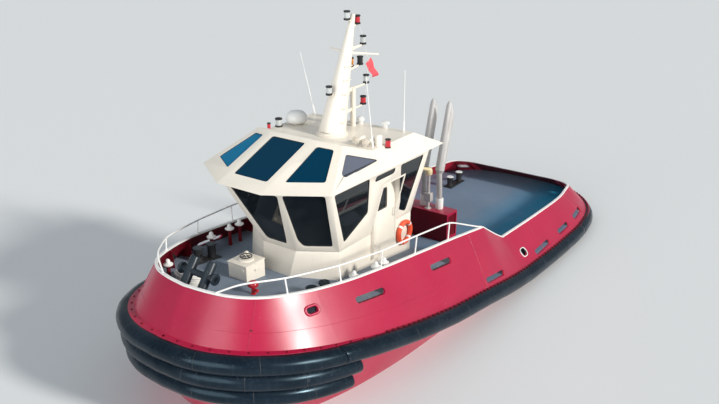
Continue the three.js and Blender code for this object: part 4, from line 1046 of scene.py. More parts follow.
class TUG_OT_bulwark(PieceOperator, bpy.types.Operator):
    """Raises the leaning bulwark, with its slots, fairleads and inner stays"""

    bl_idname = "tug.bulwark"
    bl_label = "Bulwark"

    def plates(self):
        """Raises the whole bulwark, cuts its openings and parts it in three."""
        rows = [[s.wall(mix) for mix in WALL_ROWS] + [s.wall(mix, WALL_T) for mix in reversed(WALL_ROWS)]
                for s in OUTLINE]
        whole = loft("bulwark", both_sides(rows))
        for row in SLOTS:
            cut(whole, prism("slot", slot_outline(*row), (0, 1, 0), *SIDE_CUT))
        for x, z, length, height, _, _ in FAIRLEADS:
            cut(whole, prism("lead", slot_outline(x, z, length, height, 0), (0, 1, 0), *SIDE_CUT))
        for _, side in SIDES:
            outline = [Vector((0, side * p.y, p.z)) for p in quarter_outline()]
            cut(whole, prism("quarter_lead", outline, (1, 0, 0), *QUARTER_CUT))
        forward, after = PLATE_JOINTS
        bow = slice_x(twin_of(whole, "bulwark_plate_bow"), forward, True)
        stern = slice_x(twin_of(whole, "bulwark_plate_stern"), after, False)
        middle = slice_x(slice_x(whole, forward, False), after, True)
        middle.name = "bulwark_plates_side"
        sides = [f"bulwark_{part}_{side}" for part in ("forward", "after") for side, _ in SIDES]
        for plate, nodes in ((bow, ["bulwark_bow"]), (stern, ["bulwark_stern"]), (middle, sides)):
            finish(plate, "crimson", "hull_red", stands_for=nodes, angle=25)
            # Inside faces: dark red at the bow, painted shade at the stern, painted light on the after sides.
            repaint(plate, ["maroon", "inner_red"], inside_paint)

    def stays(self):
        """Upright stays inside the bulwark, clear of the slots."""
        stays = []
        for s in OUTLINE[4::5]:
            here = s.wall(0.3).x
            over_slot = any(abs(here - x) < length / 2 + 0.05 for x, _, length, _, _ in SLOTS)
            if shaded_stern(s.wall(0.3)) or over_slot:
                continue
            foot = s.wall(s.share(deck_z(here) + 0.004), WALL_T - 0.005)
            head = s.wall(0.93, WALL_T - 0.005)
            reach = STAY_AFT
            if here > BREAK_X:
                reach = min(STAY_SLOPE * (head.z - foot.z), STAY_REACH) + (foot - head).dot(s.cap_out)
            corners = [foot, foot - s.cap_out * reach, head - s.cap_out * 0.05, head]
            along = Vector((-s.cap_out.y, s.cap_out.x, 0))
            stays += pair(prism("stay", corners, along, -STAY_HALF, STAY_HALF))
        assemble("bulwark_stays", stays, "maroon", "hull_red")

    def fairleads(self):
        """Rims of the fairleads, and black sleeves as painted shade inside their openings."""
        rims, sleeves = {"crimson": [], "white": []}, []
        for x, z, length, height, radius, paint in FAIRLEADS:
            s = wall_place(x, z)
            centre = s.wall(s.share(z))
            out = normal_of([s.wall(0), Sample(s.place + 0.2).wall(0), s.wall(1)])
            if out.y < 0:
                out.negate()
            path = []
            for p in slot_outline(x, z, length, height, 0, 10):
                y = centre.y - ((p.x - centre.x) * out.x + (p.z - centre.z) * out.z) / out.y
                path.append(Vector((p.x, y, p.z)) + out * 0.006)
            rims[paint] += pair(pipe("rim", path, radius, closed=True))
            sleeve = prism("sleeve", [p + out * -0.01 for p in path], out, -LEAD_DEPTH, 0)
            cut(sleeve, prism("sleeve_bore", [p.lerp(centre, 0.08) for p in path], out, -2 * LEAD_DEPTH, 0.2))
            sleeves += pair(sleeve)
        for depth in (0.0, WALL_T):
            path = [stern_place(p.y, p.z, depth) for p in quarter_outline(10)]
            rims["white"] += pair(pipe("rim", path, QUARTER_RIM, closed=True))
        for paint, pieces in rims.items():
            assemble(f"fairlead_rims_{paint}", pieces, paint, "hull_red")
        # Black sleeves: painted shade in the openings.
        assemble("fairlead_sleeves", sleeves, "black", "hull_red")

    def seams(self):
        """Welds on the bulwark's outside, and black discs as painted shade for its drain holes."""
        seams = []
        for foot, head in PLATE_SEAMS:
            points = [Sample(lerp(foot, head, mix)).wall(mix, WELD_OUT) for mix in WELD_HEIGHTS]
            seams += pair(pipe("seam", points, WELD_R))
        strake = [s.wall(STRAKE_HEIGHT, WELD_OUT) for s in samples(*STRAKE_ENDS)]
        seams += pair(pipe("strake_seam", strake, STRAKE_R))
        # A drain hole is a black disc: painted shade.
        drain = Sample(DRAIN_PLACE)
        hole = rod("drain", drain.wall(DRAIN_HEIGHT, 0.01), drain.wall(DRAIN_HEIGHT, -0.004), DRAIN_RADIUS,
                   sides=16)
        assemble("drain_plugs", pair(hole), "black", "hull_red")
        assemble("plate_seams", seams, "crimson", "hull_red")

    def execute(self, context):
        self.plates()
        self.stays()
        self.fairleads()
        self.seams()
        return {"FINISHED"}


CAP_RISE = 0.045


class TUG_OT_cap_rail(PieceOperator, bpy.types.Operator):
    """Lays the white bar along the top of the bulwark"""

    bl_idname = "tug.cap_rail"
    bl_label = "Cap rail"

    def execute(self, context):
        half = self.hull.cap_width / 2
        top = half - 0.010
        section = ((-half, 0.010), (-half, 0.036), (-top, CAP_RISE), (top, CAP_RISE), (half, 0.036),
                   (half, 0.010), (top, 0.001), (-top, 0.001))
        rows = [[s.inside_cap(WALL_T / 2 + across, rise) for across, rise in section] for s in OUTLINE]
        finish(loft("cap_rail_bar", both_sides(rows)), "white", "white", stands_for=["cap_rail"], angle=30)
        return {"FINISHED"}


# Fenders

# The top tier's centre lies this far below the flange, and out from the side by a share of its radius
FENDER_DROP, FENDER_STANDOFF = 0.21, 0.85
# How far the tiers' centres stand out from the flange at the bow, from the top one down
BOW_STANDOFFS = (0.212, 0.155, 0.080)
# Where the top tier's bow, side and stern lengths meet, and the gap between them
FENDER_JOINTS, JOINT_GAP = (7.08, -6.4), 0.015
# Lower tiers. Columns: tier, after end, name, node.
LOWER_TIERS = [
    (1, 6.50, "fender_tier_middle", "fender_bow_middle"),
    (2, 6.65, "fender_tier_lower", "fender_bow_lower"),
]
# Where the rubber lengths meet, as places along the outline, for each tier
RUBBER_SEAMS = [(1.2, 2.9, 6.1, 7.2, 8.6, 10.4, 12.6, 15.0), (0.8, 2.5, 3.9), (1.0, 2.7, 4.1)]
SEAM_RADIUS, SEAM_SINK = 0.008, 0.007


def fender_circle(s, tier, radius, pitch, sides=24, grow=0.0):
    """A tier's round section at one sample."""
    z = s.flange.z - FENDER_DROP - tier * pitch
    side = s.straight_side(z) + s.flange_out * radius * FENDER_STANDOFF
    bow = s.inside_flange(-BOW_STANDOFFS[tier])
    bow.z = z
    centre = side.lerp(bow, s.bow_share)
    reach = radius + grow
    turns = [2 * math.pi * i / sides for i in range(sides)]
    return [centre + s.flange_out * reach * math.cos(a) + Vector((0, 0, reach * math.sin(a))) for a in turns]


class TUG_OT_fenders(PieceOperator, bpy.types.Operator):
    """Wraps the rubber tiers round the hull"""

    bl_idname = "tug.fenders"
    bl_label = "Fenders"

    def execute(self, context):
        radius, pitch = self.hull.fender_radius, self.hull.tier_pitch
        tiers = [both_sides([fender_circle(s, tier, radius, pitch) for s in OUTLINE]) for tier in range(3)]
        forward, after = FENDER_JOINTS
        top = loft("fender_top", tiers[0])
        bow = slice_x(twin_of(top, "fender_tier_upper"), forward, True)
        stern = slice_x(twin_of(top, "fender_stern_run"), after, False)
        sides = slice_x(slice_x(top, forward - JOINT_GAP, False), after + JOINT_GAP, True)
        sides.name = "fender_side_runs"
        pieces = [(bow, ["fender_bow_upper"]), (stern, ["fender_stern"]),
                  (sides, ["fender_port", "fender_starboard"])]
        for tier, end, name, node in LOWER_TIERS:
            pieces.append((slice_x(loft(name, tiers[tier]), end, True), [node]))
        for piece, nodes in pieces:
            bevel(piece, 0.03, 3, 60)
            finish(piece, "rubber", "fender", stands_for=nodes, angle=40)
        seams = []
        for tier, places in enumerate(RUBBER_SEAMS):
            for place in places:
                circle = fender_circle(Sample(place), tier, radius, pitch, 32, -SEAM_SINK)
                seams += pair(pipe("rubber_seam", circle, SEAM_RADIUS, closed=True, resolution=2))
        assemble("fender_seams", seams, "seal", "fender")
        return {"FINISHED"}


# Decks

# Mushroom vents beside the bulwark. Columns: x, y, extra height of the stem.
VENTS = [
    (7.76, -1.72, 0.0),
    (5.82, -2.20, 0.15),
    (5.05, -2.28, 0.19),
    (4.62, -2.32, 0.22),
    (5.38, 2.24, 0.15),
    (4.55, 2.32, 0.19),
    (4.22, 2.34, 0.22),
]
VENT_HEAD = [(0, 0.32), (0.085, 0.32), (0.125, 0.345), (0.128, 0.37), (0.10, 0.385), (0.06, 0.42),
             (0.055, 0.47), (0.03, 0.5), (0, 0.505)]
VENT_HEIGHT, VENT_SINK = 0.33, 0.05
DECK_T, BREAK_PLATE_T = 0.1, 0.03


def deck_edge(s):
    """Where the deck's surface meets the inside of the bulwark."""
    mix = 0.3
    for _ in range(8):
        mix = s.share(deck_z(s.wall(mix, WALL_T + HAIR).x))
    return s.wall(mix, WALL_T + HAIR)


def deck_plate(name, port_edge):
    """A closed plate under a port-side edge and its mirror image."""
    rows = [[p, Vector((p.x, p.y, p.z - DECK_T))] for p in port_edge]
    count = len(rows)
    verts = [p for row in rows for p in row] + [flipped(p) for row in rows for p in row]
    faces = []
    for i in range(count - 1):
        a, b = 2 * i, 2 * i + 2
        c, d = a + 2 * count, b + 2 * count
        faces += [(a, b, d, c), (a + 1, b + 1, d + 1, c + 1), (a, b, b + 1, a + 1), (c, d, d + 1, c + 1)]
    faces += [(0, 1, 2 * count + 1, 2 * count), (2 * count - 2, 2 * count - 1, 4 * count - 1, 4 * count - 2)]
    return outward(mesh_piece(name, verts, faces), 0.0005)


class TUG_OT_decks(PieceOperator, bpy.types.Operator):
    """Lays the fore and after decks, the step between them and the vents"""

    bl_idname = "tug.decks"
    bl_label = "Decks"

    def execute(self, context):
        edge = [deck_edge(s) for s in OUTLINE]
        s = min(OUTLINE, key=lambda s: abs(s.flange.x - BREAK_X))
        high, low = foredeck_z(BREAK_X), afterdeck_z(BREAK_X)
        high_y, low_y = [s.wall(s.share(z), WALL_T + HAIR).y for z in (high, low)]
        fore = [p for p in edge if p.x > BREAK_X + 0.01] + [Vector((BREAK_X, high_y, high))]
        after = [Vector((BREAK_X - HAIR, low_y, low))] + [p for p in edge if p.x < BREAK_X - 0.01]
        finish(deck_plate("foredeck_plate", fore), "deck", "deck_grey", stands_for=["deck_forward"])
        # The after deck's paint carries the strip of painted shade along the port side.
        finish(deck_plate("afterdeck_plate", after), "deck_damp", "deck_grey", stands_for=["deck_aft"])
        corners = [(BREAK_X, high_y, high - 0.001), (BREAK_X, -high_y, high - 0.001), (BREAK_X, -low_y, low),
                   (BREAK_X, low_y, low)]
        finish(prism("break_plate", corners, (1, 0, 0), 0.0, BREAK_PLATE_T), "maroon", "hull_red")
        stems, heads = [], []
        for x, y, extra in VENTS:
            top, base = VENT_HEIGHT + extra, foredeck_z(x) - VENT_SINK
            stem = [(0, 0), (0.055, 0), (0.05, 0.02), (0.05, top), (0, top)]
            stems.append(lathe("vent_stem", stem, (x, y, base), steps=20))
            heads.append(lathe("vent_head", VENT_HEAD, (x, y, base + extra), steps=28))
        assemble("vent_stems", stems, "maroon", "deck_grey")
        assemble("vent_heads", heads, "white", "deck_grey")
        return {"FINISHED"}


# Handrails. Columns: x, y, z of the top of each post.
RAIL_POSTS = [
    (7.56, 1.94, 3.66),
    (6.13, 2.35, 3.52),
    (4.66, 2.57, 3.41),
    (3.16, 2.65, 3.30),
    (1.51, 2.69, 3.12),
]
# Where the rail bends at the bow, and where it meets the cap forward and aft
RAIL_BEND, RAIL_ENDS = (8.37, 1.35, 3.68), (8.66, -0.33)
RAIL_RADIUS, POST_RADIUS = 0.022, 0.019
POST_FOOT = [(0, 0), (0.045, 0), (0.045, 0.008), (0.022, 0.014), (0, 0.014)]


def cap_top(x):
    """The middle of the cap rail's upper face at a length along the boat."""
    nearest = min(samples(steps=40), key=lambda s: abs(s.cap.x - x))
    return nearest.inside_cap(WALL_T / 2, CAP_RISE)


class TUG_OT_handrails(PieceOperator, bpy.types.Operator):
    """Bends the pipe rails over the cap on both sides"""

    bl_idname = "tug.handrails"
    bl_label = "Handrails"

    def execute(self, context):
        forward, aft = [cap_top(x) for x in RAIL_ENDS]
        tops = [Vector(p) for p in RAIL_POSTS]
        path = [forward, Vector(RAIL_BEND), *tops, aft + Vector((0.25, 0, 0.09)), aft]
        pieces = [pipe("rail", path, RAIL_RADIUS, bend=0.35, resolution=5)]
        for top in tops:
            foot = cap_top(top.x)
            pieces.append(rod("post", foot - Vector((0, 0, 0.004)), top, POST_RADIUS, sides=16))
            pieces.append(lathe("post_foot", POST_FOOT, foot - Vector((0, 0, 0.002)), steps=16))
        port = gather("handrail_pipe_port", pieces)
        starboard = mirror_copy(port, "handrail_pipe_starboard")
        for name, rail in (("port", port), ("starboard", starboard)):
            finish(rail, "white", "white", stands_for=[f"handrail_{name}"], angle=50)
        return {"FINISHED"}


# Wheelhouse: each facet is three points on its plane

# Heights of the floor, of the windows' sill, of the visor's lower edge and of the roof
FLOOR_Z, SILL_Z, BROW_Z, ROOF_Z = 2.46, 3.18, 5.15, 5.63
# Half width at the sill, and how far the sides lean out for each metre above it
WALL_Y, RAKE = 1.47, 0.26
HOUSE_INSIDE, VISOR_INSIDE = (3.5, 0, 3.0), (4.5, 0, 5.4)
BAND_CORNER, VISOR_CORNER = 0.085, 0.075
# How far the cutters for windows reach to both sides, and how deep the panes and their seals are set
HOLE_REACH, PANE_DEPTH, SEAL_DEPTH, SEAL_R = 0.2, 0.022, 0.018, 0.011


def both(facet):
    """A facet and its mirror image."""
    return [facet, [(x, -y, z) for x, y, z in facet]]


COAMING_FACETS = [
    [(5.69, 0.43, 2.50), (5.69, -0.43, 2.50), (5.54, 0.55, 3.18)],
    *both([(5.69, 0.43, 2.50), (5.54, 0.55, 3.18), (4.95, 1.47, 3.18)]),
    *both([(4.95, 1.47, 3.18), (1.60, 1.47, 3.18), (1.60, 1.47, 2.00)]),
    [(1.60, 0, 2.00), (1.60, 0.10, 2.00), (1.60, 0, 3.00)],
]
BAND_FACETS = [
    [(5.54, 0.55, 3.18), (5.54, -0.55, 3.18), (6.50, 1.00, 5.10)],
    *both([(5.54, 0.55, 3.18), (4.95, 1.47, 3.18), (6.50, 1.00, 5.10)]),
    *both([(4.95, 1.47, 3.18), (1.60, 1.47, 3.18), (1.60, 1.97, 5.10)]),
    [(1.60, 1.47, 3.18), (1.60, -1.47, 3.18), (1.52, 0, 5.10)],
]
VISOR_FACETS = [
    [(6.90, 0.70, 5.15), (6.90, -0.70, 5.15), (4.88, 0.71, 5.97)],
    *both([(6.90, 0.70, 5.15), (6.02, 2.075, 5.15), (4.88, 0.71, 5.97)]),
    *both([(6.02, 2.075, 5.15), (4.64, 1.38, 5.89), (3.87, 1.715, 5.63)]),
    *both([(6.02, 2.075, 5.15), (0.93, 2.075, 5.15), (3.87, 1.715, 5.63)]),
    [(0.93, 2.075, 5.15), (0.93, -2.075, 5.15), (1.93, 0, 5.63)],
]
RIDGE_FACETS = [
    [(4.88, 0.71, 5.97), (4.88, -0.71, 5.97), (3.87, 0, 5.63)],
    *both([(4.88, 0.71, 5.97), (4.64, 1.38, 5.89), (3.87, 1.715, 5.63)]),
]
# Windows as corner points on the outer face
BAND_WINDOWS = [
    [(6.45, 0.80, 5.00), (6.45, -0.80, 5.00), (5.72, -0.39, 3.54), (5.63, -0.33, 3.36), (5.63, 0.33, 3.36),
     (5.72, 0.39, 3.54)],
    *both([(6.51, 0.99, 5.05), (5.97, 1.85, 5.06), (5.12, 1.40, 3.37), (5.50, 0.77, 3.37),
           (5.69, 0.74, 3.56)]),
    *both([(4.83, 1.53, 3.41), (4.00, 1.68, 3.98), (4.32, 1.96, 5.06), (5.76, 1.96, 5.06)]),
    *both([(4.03, 1.91, 4.86), (3.14, 1.91, 4.86), (3.14, 1.95, 5.03), (4.03, 1.95, 5.03)]),
    *both([(2.90, 1.95, 5.03), (1.76, 1.95, 5.02), (1.95, 1.51, 3.32), (2.35, 1.56, 3.50),
           (2.40, 1.62, 3.80)]),
    *both([(1.56, 0.35, 3.90), (1.56, 1.25, 3.90), (1.53, 1.35, 4.95), (1.53, 0.35, 4.95)]),
]
VISOR_WINDOWS = [
    [(6.49, 0.53, 5.316), (6.49, -0.53, 5.316), (5.04, -0.53, 5.905), (5.04, 0.53, 5.905)],
    *both([(6.30, 0.92, 5.33), (5.78, 1.72, 5.34), (4.87, 1.28, 5.82), (5.02, 0.87, 5.87)]),
    *both([(5.28, 1.90, 5.34), (5.31, 1.83, 5.42), (4.75, 1.55, 5.73), (3.92, 1.90, 5.42)]),
]

# The port door: its ends, its outer face, its foot and its top
DOOR_X, DOOR_Y, DOOR_Z = (2.55, 3.50), 1.55, (2.50, 4.60)
# Thickness of a door and its clearance all round
DOOR_T, DOOR_CLEAR = 0.06, 0.009
# The door's window: after and forward edge, lower and upper edge
DOOR_WINDOW = (2.95, 3.38, 3.79, 4.35)
HANDLE_X, HANDLE_Z = 2.64, (3.45, 3.65)
# The box that holds the door: its border round the door, the width that stops it, and its inner face
FRAME_BORDER, FRAME_STOP, FRAME_INNER_Y = 0.06, 0.045, 1.40
FRAME_X = (DOOR_X[0] - FRAME_BORDER, DOOR_X[1] + FRAME_BORDER)
FRAME_TOP = DOOR_Z[1] + FRAME_BORDER
# The door's hinges: x and y of the pin, barrel radius, barrel length, heights of the door's barrels
HINGE_X, HINGE_Y, HINGE_R, HINGE_L, HINGE_HEIGHTS = 3.49, 1.562, 0.009, 0.08, (2.85, 4.17)


def on_plane(points, facets, inside):
    """Window corners dropped onto the plane of the facet that fits best, with its outward normal."""
    corners = [Vector(p) for p in points]
    centre = sum(corners, Vector()) / len(corners)

    def misfit(plane):
        origin, no = plane
        return abs(no.dot(centre - origin)) - abs(no.dot(normal_of(points)))

    planes = [(Vector(facet[0]), facing_away(facet, inside)) for facet in facets]
    origin, no = min(planes, key=misfit)
    return [p - no * no.dot(p - origin) for p in corners], no


def cut_windows(obj, windows, facets, inside, radius):
    """Cuts window openings into a wall."""
    for points in windows:
        flat, no = on_plane(points, facets, inside)
        cut(obj, prism("pane_hole", rounded_outline(flat, radius), no, -HOLE_REACH, HOLE_REACH))


class TUG_OT_wheelhouse(PieceOperator, bpy.types.Operator):
    """Builds the wheelhouse walls, window band, door frames and visor top"""

    bl_idname = "tug.wheelhouse"
    bl_label = "Wheelhouse"

    def door_frame(self):
        """A box with a recess that holds the port door."""
        face_y = DOOR_Y + 0.01
        bend_z = SILL_Z + (face_y - WALL_Y) / RAKE
        top_y = WALL_Y + RAKE * (FRAME_TOP - SILL_Z)
        profile = [(FRAME_X[0], y, z) for y, z in (
            (FRAME_INNER_Y, FLOOR_Z), (face_y, FLOOR_Z), (face_y, bend_z), (top_y, FRAME_TOP),
            (FRAME_INNER_Y, FRAME_TOP))]
        body = prism("door_frame", profile, (1, 0, 0), 0, FRAME_X[1] - FRAME_X[0])
        (x0, x1), (z0, z1), gap, stop = DOOR_X, DOOR_Z, DOOR_CLEAR, FRAME_STOP
        recess = block("recess", (x0 - gap, DOOR_Y - DOOR_T - gap, z0 - gap), (x1 + gap, 3, z1 + gap))
        passage = block("passage", (x0 + stop, 1, z0 + stop), (x1 - stop, 3, z1 - stop))
        return cut(body, recess, passage)

    def notches(self):
        """Cutters that make room for the door frames."""
        return pair(block("notch", (FRAME_X[0], 1.2, FLOOR_Z - 0.001), (FRAME_X[1], 3, FRAME_TOP)))

    def coaming(self, wall):
        """The lower wall, cut off along the foredeck."""
        walls = clipped("coaming_walls", (0, -4, 0), (9, 4, SILL_Z), COAMING_FACETS, HOUSE_INSIDE)
        room = clipped("room", (0, -4, FLOOR_Z), (9, 4, 4), COAMING_FACETS, HOUSE_INSIDE, wall)
        below = prism("below", [(-9, 0, foredeck_z(-9)), (9, 0, foredeck_z(9)), (9, 0, -9), (-9, 0, -9)],
                      (0, 1, 0), -9, 9)
        cut(walls, room, below, *self.notches())
        bevel(walls, 0.012, 2, 25)
        finish(walls, "cream", "cream", stands_for=["wheelhouse_coaming"], angle=25)

    def band(self, wall):
        """The wall that leans out, with its windows."""
        band = clipped("window_band", (0, -4, SILL_Z), (9, 4, BROW_Z), BAND_FACETS, HOUSE_INSIDE)
        cut(band, clipped("room", (0, -4, 2), (9, 4, 7), BAND_FACETS, HOUSE_INSIDE, wall), *self.notches())
        cut_windows(band, BAND_WINDOWS, BAND_FACETS, HOUSE_INSIDE, BAND_CORNER)
        bevel(band, 0.007, 2, 25)
        finish(band, "cream", "cream", stands_for=["wheelhouse_band"], angle=25)

    def visor(self, wall):
        """The top with its ridge, its windows and an open well to the room below."""
        top_facets = VISOR_FACETS + RIDGE_FACETS
        visor = clipped("visor_shell", (-2, -4, BROW_Z), (9, 4, ROOF_Z), VISOR_FACETS, VISOR_INSIDE)
        cut(visor, clipped("ridge", (-2, -4, BROW_Z), (9, 4, 9), top_facets, VISOR_INSIDE), operation="UNION")
        low = (-2, -4, BROW_Z + wall)
        room = clipped("low_room", low, (9, 4, ROOF_Z - wall), VISOR_FACETS, VISOR_INSIDE, wall)
        ridge_room = clipped("ridge_room", low, (9, 4, 9), top_facets, VISOR_INSIDE, wall)
        well = clipped("well", (0, -4, BROW_Z - 0.5), (9, 4, BROW_Z + wall + 0.005), BAND_FACETS,
                       HOUSE_INSIDE, wall)
        cut(visor, room, ridge_room, well)
        cut_windows(visor, VISOR_WINDOWS, VISOR_FACETS, VISOR_INSIDE, VISOR_CORNER)
        bevel(visor, 0.009, 2, 20)
        finish(visor, "cream", "cream", stands_for=["wheelhouse_visor"], angle=20)

    def execute(self, context):
        wall = self.house.wall
        self.coaming(wall)
        self.band(wall)
        port = self.door_frame()
        starboard = mirror_copy(port, "door_frame_starboard")
        port.name = "door_frame_port"
        for door_frame in (port, starboard):
            bevel(door_frame, 0.006, 2, 30)
            finish(door_frame, "cream", "cream")
        self.visor(wall)
        return {"FINISHED"}


def visor_painted_reflection(face):
    """Painted reflections: the starboard pane carries a painted sky reflection, and the port side's pane a
    painted reflection of the haze.
    """
    x, y, _ = face.center
    if x > 4.86 and y < -0.8:
        return 1
    return 2 if x < 5.32 and y > 1.5 else 0


class TUG_OT_glazing(PieceOperator, bpy.types.Operator):
    """Sets the panes and their seals in the wheelhouse windows"""

    bl_idname = "tug.glazing"
    bl_label = "Glazing"

    def execute(self, context):
        sets = [
            ("panes_lower", "glass_lower", "glass", BAND_WINDOWS, BAND_FACETS, HOUSE_INSIDE, BAND_CORNER),
            ("panes_upper", "glass_upper", "visor_glass", VISOR_WINDOWS, VISOR_FACETS, VISOR_INSIDE,
             VISOR_CORNER),
        ]
        pane, seals, glass = self.house.pane, [], {}
        for name, node, material, windows, facets, inside, radius in sets:
            panes = []
            for points in windows:
                flat, no = on_plane(points, facets, inside)
                outline = rounded_outline(flat, radius)
                panes.append(prism("pane", outline, no, -PANE_DEPTH - pane, -PANE_DEPTH))
                path = [p - no * SEAL_DEPTH for p in outline]
                seals.append(pipe("seal", path, SEAL_R, closed=True, resolution=2))
            glass[name] = assemble(name, panes, material, "glass", stands_for=[node])
        # The visor's panes get their painted reflections of the sky and the haze.
        repaint(glass["panes_upper"], ["visor_glass_sky", "visor_glass_haze"], visor_painted_reflection)
        assemble("window_seals", seals, "seal", "black")
        return {"FINISHED"}


class TUG_OT_doors(PieceOperator, bpy.types.Operator):
    """Hangs the wheelhouse doors with their windows, hinges and handles"""

    bl_idname = "tug.doors"
    bl_label = "Doors"

    def barrels(self, on_frame):
        """Hinge barrels with their leaves: one on the door between two on the frame, at each height."""
        ends, leaf = (0,), ((-0.008, DOOR_Y - 0.005), (0.008, HINGE_Y))
        if on_frame:
            ends, leaf = (-1, 1), ((0, HINGE_Y - 0.003), (0.032, HINGE_Y + 0.006))
        (x0, y0), (x1, y1) = leaf
        pieces = []
        for middle in [z + end * HINGE_L for z in HINGE_HEIGHTS for end in ends]:
            low, high = middle - HINGE_L / 2 + 0.001, middle + HINGE_L / 2 - 0.001
            pieces.append(rod("barrel", (HINGE_X, HINGE_Y, low), (HINGE_X, HINGE_Y, high), HINGE_R, sides=16,
                              round_by=0.002))
            pieces.append(block("leaf", (HINGE_X + x0, y0, low), (HINGE_X + x1, y1, high), 0.002))
        return pieces

    def execute(self, context):
        x0, x1, z0, z1 = DOOR_WINDOW
        panel = block("door_panel", (DOOR_X[0], DOOR_Y - DOOR_T, DOOR_Z[0]), (DOOR_X[1], DOOR_Y, DOOR_Z[1]))
        corners = [(x0, DOOR_Y, z0), (x1, DOOR_Y, z0), (x1, DOOR_Y, z1), (x0, DOOR_Y, z1)]
        outline = rounded_outline(corners, 0.05)
        cut(panel, prism("door_hole", outline, (0, 1, 0), -HOLE_REACH, HOLE_REACH))
        bevel(panel, 0.008, 3, 40)
        low, high = HANDLE_Z
        root, out = DOOR_Y - 0.01, DOOR_Y + 0.06
        grip = [(HANDLE_X, root, low), (HANDLE_X, out, low), (HANDLE_X, out, high), (HANDLE_X, root, high)]
        handle = pipe("handle", grip, 0.011, bend=0.03)
        path = [p + Vector((0, 0.002, 0)) for p in outline]
        seal = pipe("door_seal", path, 0.010, closed=True, resolution=2)
        glass = prism("door_pane", outline, (0, 1, 0), -DOOR_T / 2 - 0.005, -DOOR_T / 2 + 0.005)
        leaf = gather("door_leaf", [panel, *self.barrels(False)])
        port_hinges = gather("hinge_leaves_port", self.barrels(True))
        for name, make_copy in (("port", twin_of), ("starboard", mirror_copy)):
            body = f"door_{name}"
            # Columns: part, paint, slot, nodes that it stands for
            parts = [(leaf, "cream", "cream", [body]), (handle, "stainless", "stainless", ()),
                     (seal, "seal", "black", ()), (glass, "glass", "glass", [f"door_glass_{name}"])]
            for part, paint, slot_name, nodes in parts:
                finish(make_copy(part, f"{part.name}_{name}"), paint, slot_name, body, nodes)
        remove(leaf, handle, seal, glass)
        for piece in (port_hinges, mirror_copy(port_hinges, "hinge_leaves_starboard")):
            finish(piece, "cream", "cream")
        return {"FINISHED"}


# Cabin: the console's outline seen from the side, its half width, and the seat

CABIN_FLOOR = FLOOR_Z + 0.001
CONSOLE = [(4.25, 0, CABIN_FLOOR), (4.85, 0, CABIN_FLOOR), (5.00, 0, 3.15), (4.75, 0, 3.30), (4.20, 0, 3.15)]
CONSOLE_HALF, SEAT_X = 0.85, 3.5
SEAT_BASE = [(0, 0), (0.23, 0), (0.23, 0.02), (0.06, 0.05), (0.045, 0.46), (0, 0.46)]


class TUG_OT_cabin(PieceOperator, bpy.types.Operator):
    """Fits the steering console and the helm seat"""

    bl_idname = "tug.cabin"
    bl_label = "Cabin"

    def execute(self, context):
        console = bevel(prism("console_body", CONSOLE, (0, 1, 0), -CONSOLE_HALF, CONSOLE_HALF), 0.03, 3, 30)
        screen = block("console_screen", (4.56, -0.25, 3.24), (4.66, 0.25, 3.42), 0.015)
        assemble("steering_console", [console, screen], "interior", "interior", stands_for=["helm_console"])
        x, z = SEAT_X, CABIN_FLOOR
        base = lathe("seat_base", SEAT_BASE, (x, 0, z), steps=28)
        cushion = block("seat_cushion", (x - 0.23, -0.24, z + 0.45), (x + 0.23, 0.24, z + 0.56), 0.045)
        back = block("seat_back", (x - 0.25, -0.23, z + 0.5), (x - 0.16, 0.23, z + 1.2), 0.04)
        assemble("helm_chair", [base, cushion, back], "interior", "interior", stands_for=["helm_seat"])
        return {"FINISHED"}


# Mast

# The tapered tube: x at the roof and at the top, height of the top, radius at the roof and at the top
MAST_X0, MAST_X1, MAST_TOP_Z, MAST_R0, MAST_R1 = 3.29, 2.32, 8.65, 0.37, 0.06
MAST_FOOT = [(0, 0), (0.43, 0), (0.43, 0.036), (0.42, 0.046), (0.385, 0.05), (0.376, 0.09), (0, 0.09)]
# Feet of what stands on the roof: just above its face, or sunk into it
ROOF_SEAT, ROOF_SUNK = ROOF_Z + 0.001, ROOF_Z - 0.01
# The upright post in the mast: x, height of its top, radius
POST_X, POST_TOP_Z, POST_R = 2.34, 6.70, 0.075
# The yard: x at its middle and its ends, half length, height
YARD_X, YARD_HALF, YARD_Z = (2.62, 2.28), 0.80, 7.68
RUNG_HEIGHTS = (6.0, 6.35, 6.7, 7.05, 7.4)
# Lanterns on brackets. Columns: x, z of the foot, radius, height, depth of the gusset, material of the body.
LANTERNS = [
    (2.59, 8.54, 0.09, 0.23, 0.06, "lens_clear"),
    (2.14, 8.38, 0.09, 0.23, 0.12, "red"),
    (1.87, 7.81, 0.09, 0.23, 0.28, "lens_clear"),
    (2.38, 7.29, 0.05, 0.24, 0.06, "amber"),
    (2.01, 7.28, 0.09, 0.22, 0.26, "black"),
    (1.72, 6.72, 0.09, 0.23, 0.33, "lens_clear"),
    (1.86, 6.15, 0.09, 0.23, 0.30, "red"),
    (3.39, 6.71, 0.09, 0.23, 0.20, "lens_clear"),
]
# The flag's corners: hoist top and foot, fly foot and top
FLAG = [(1.49, 0, 7.38), (1.74, 0, 7.24), (1.40, 0, 6.80), (1.14, 0, 6.82)]
# Faces along and across the flag, and its thickness
FLAG_STEPS, FLAG_T = (14, 6), 0.006
HALYARD = [(2.05, 0, 8.36), (1.60, 0, 7.32), (1.74, -0.1, 5.66)]


def mast_share(z):
    """How far up the mast a height is, from 0 at the roof to 1 at the top."""
    return (z - ROOF_Z) / (MAST_TOP_Z - ROOF_Z)


def mast_x(z):
    """Where along X the middle of the raked mast is at a height."""
    return lerp(MAST_X0, MAST_X1, mast_share(z))


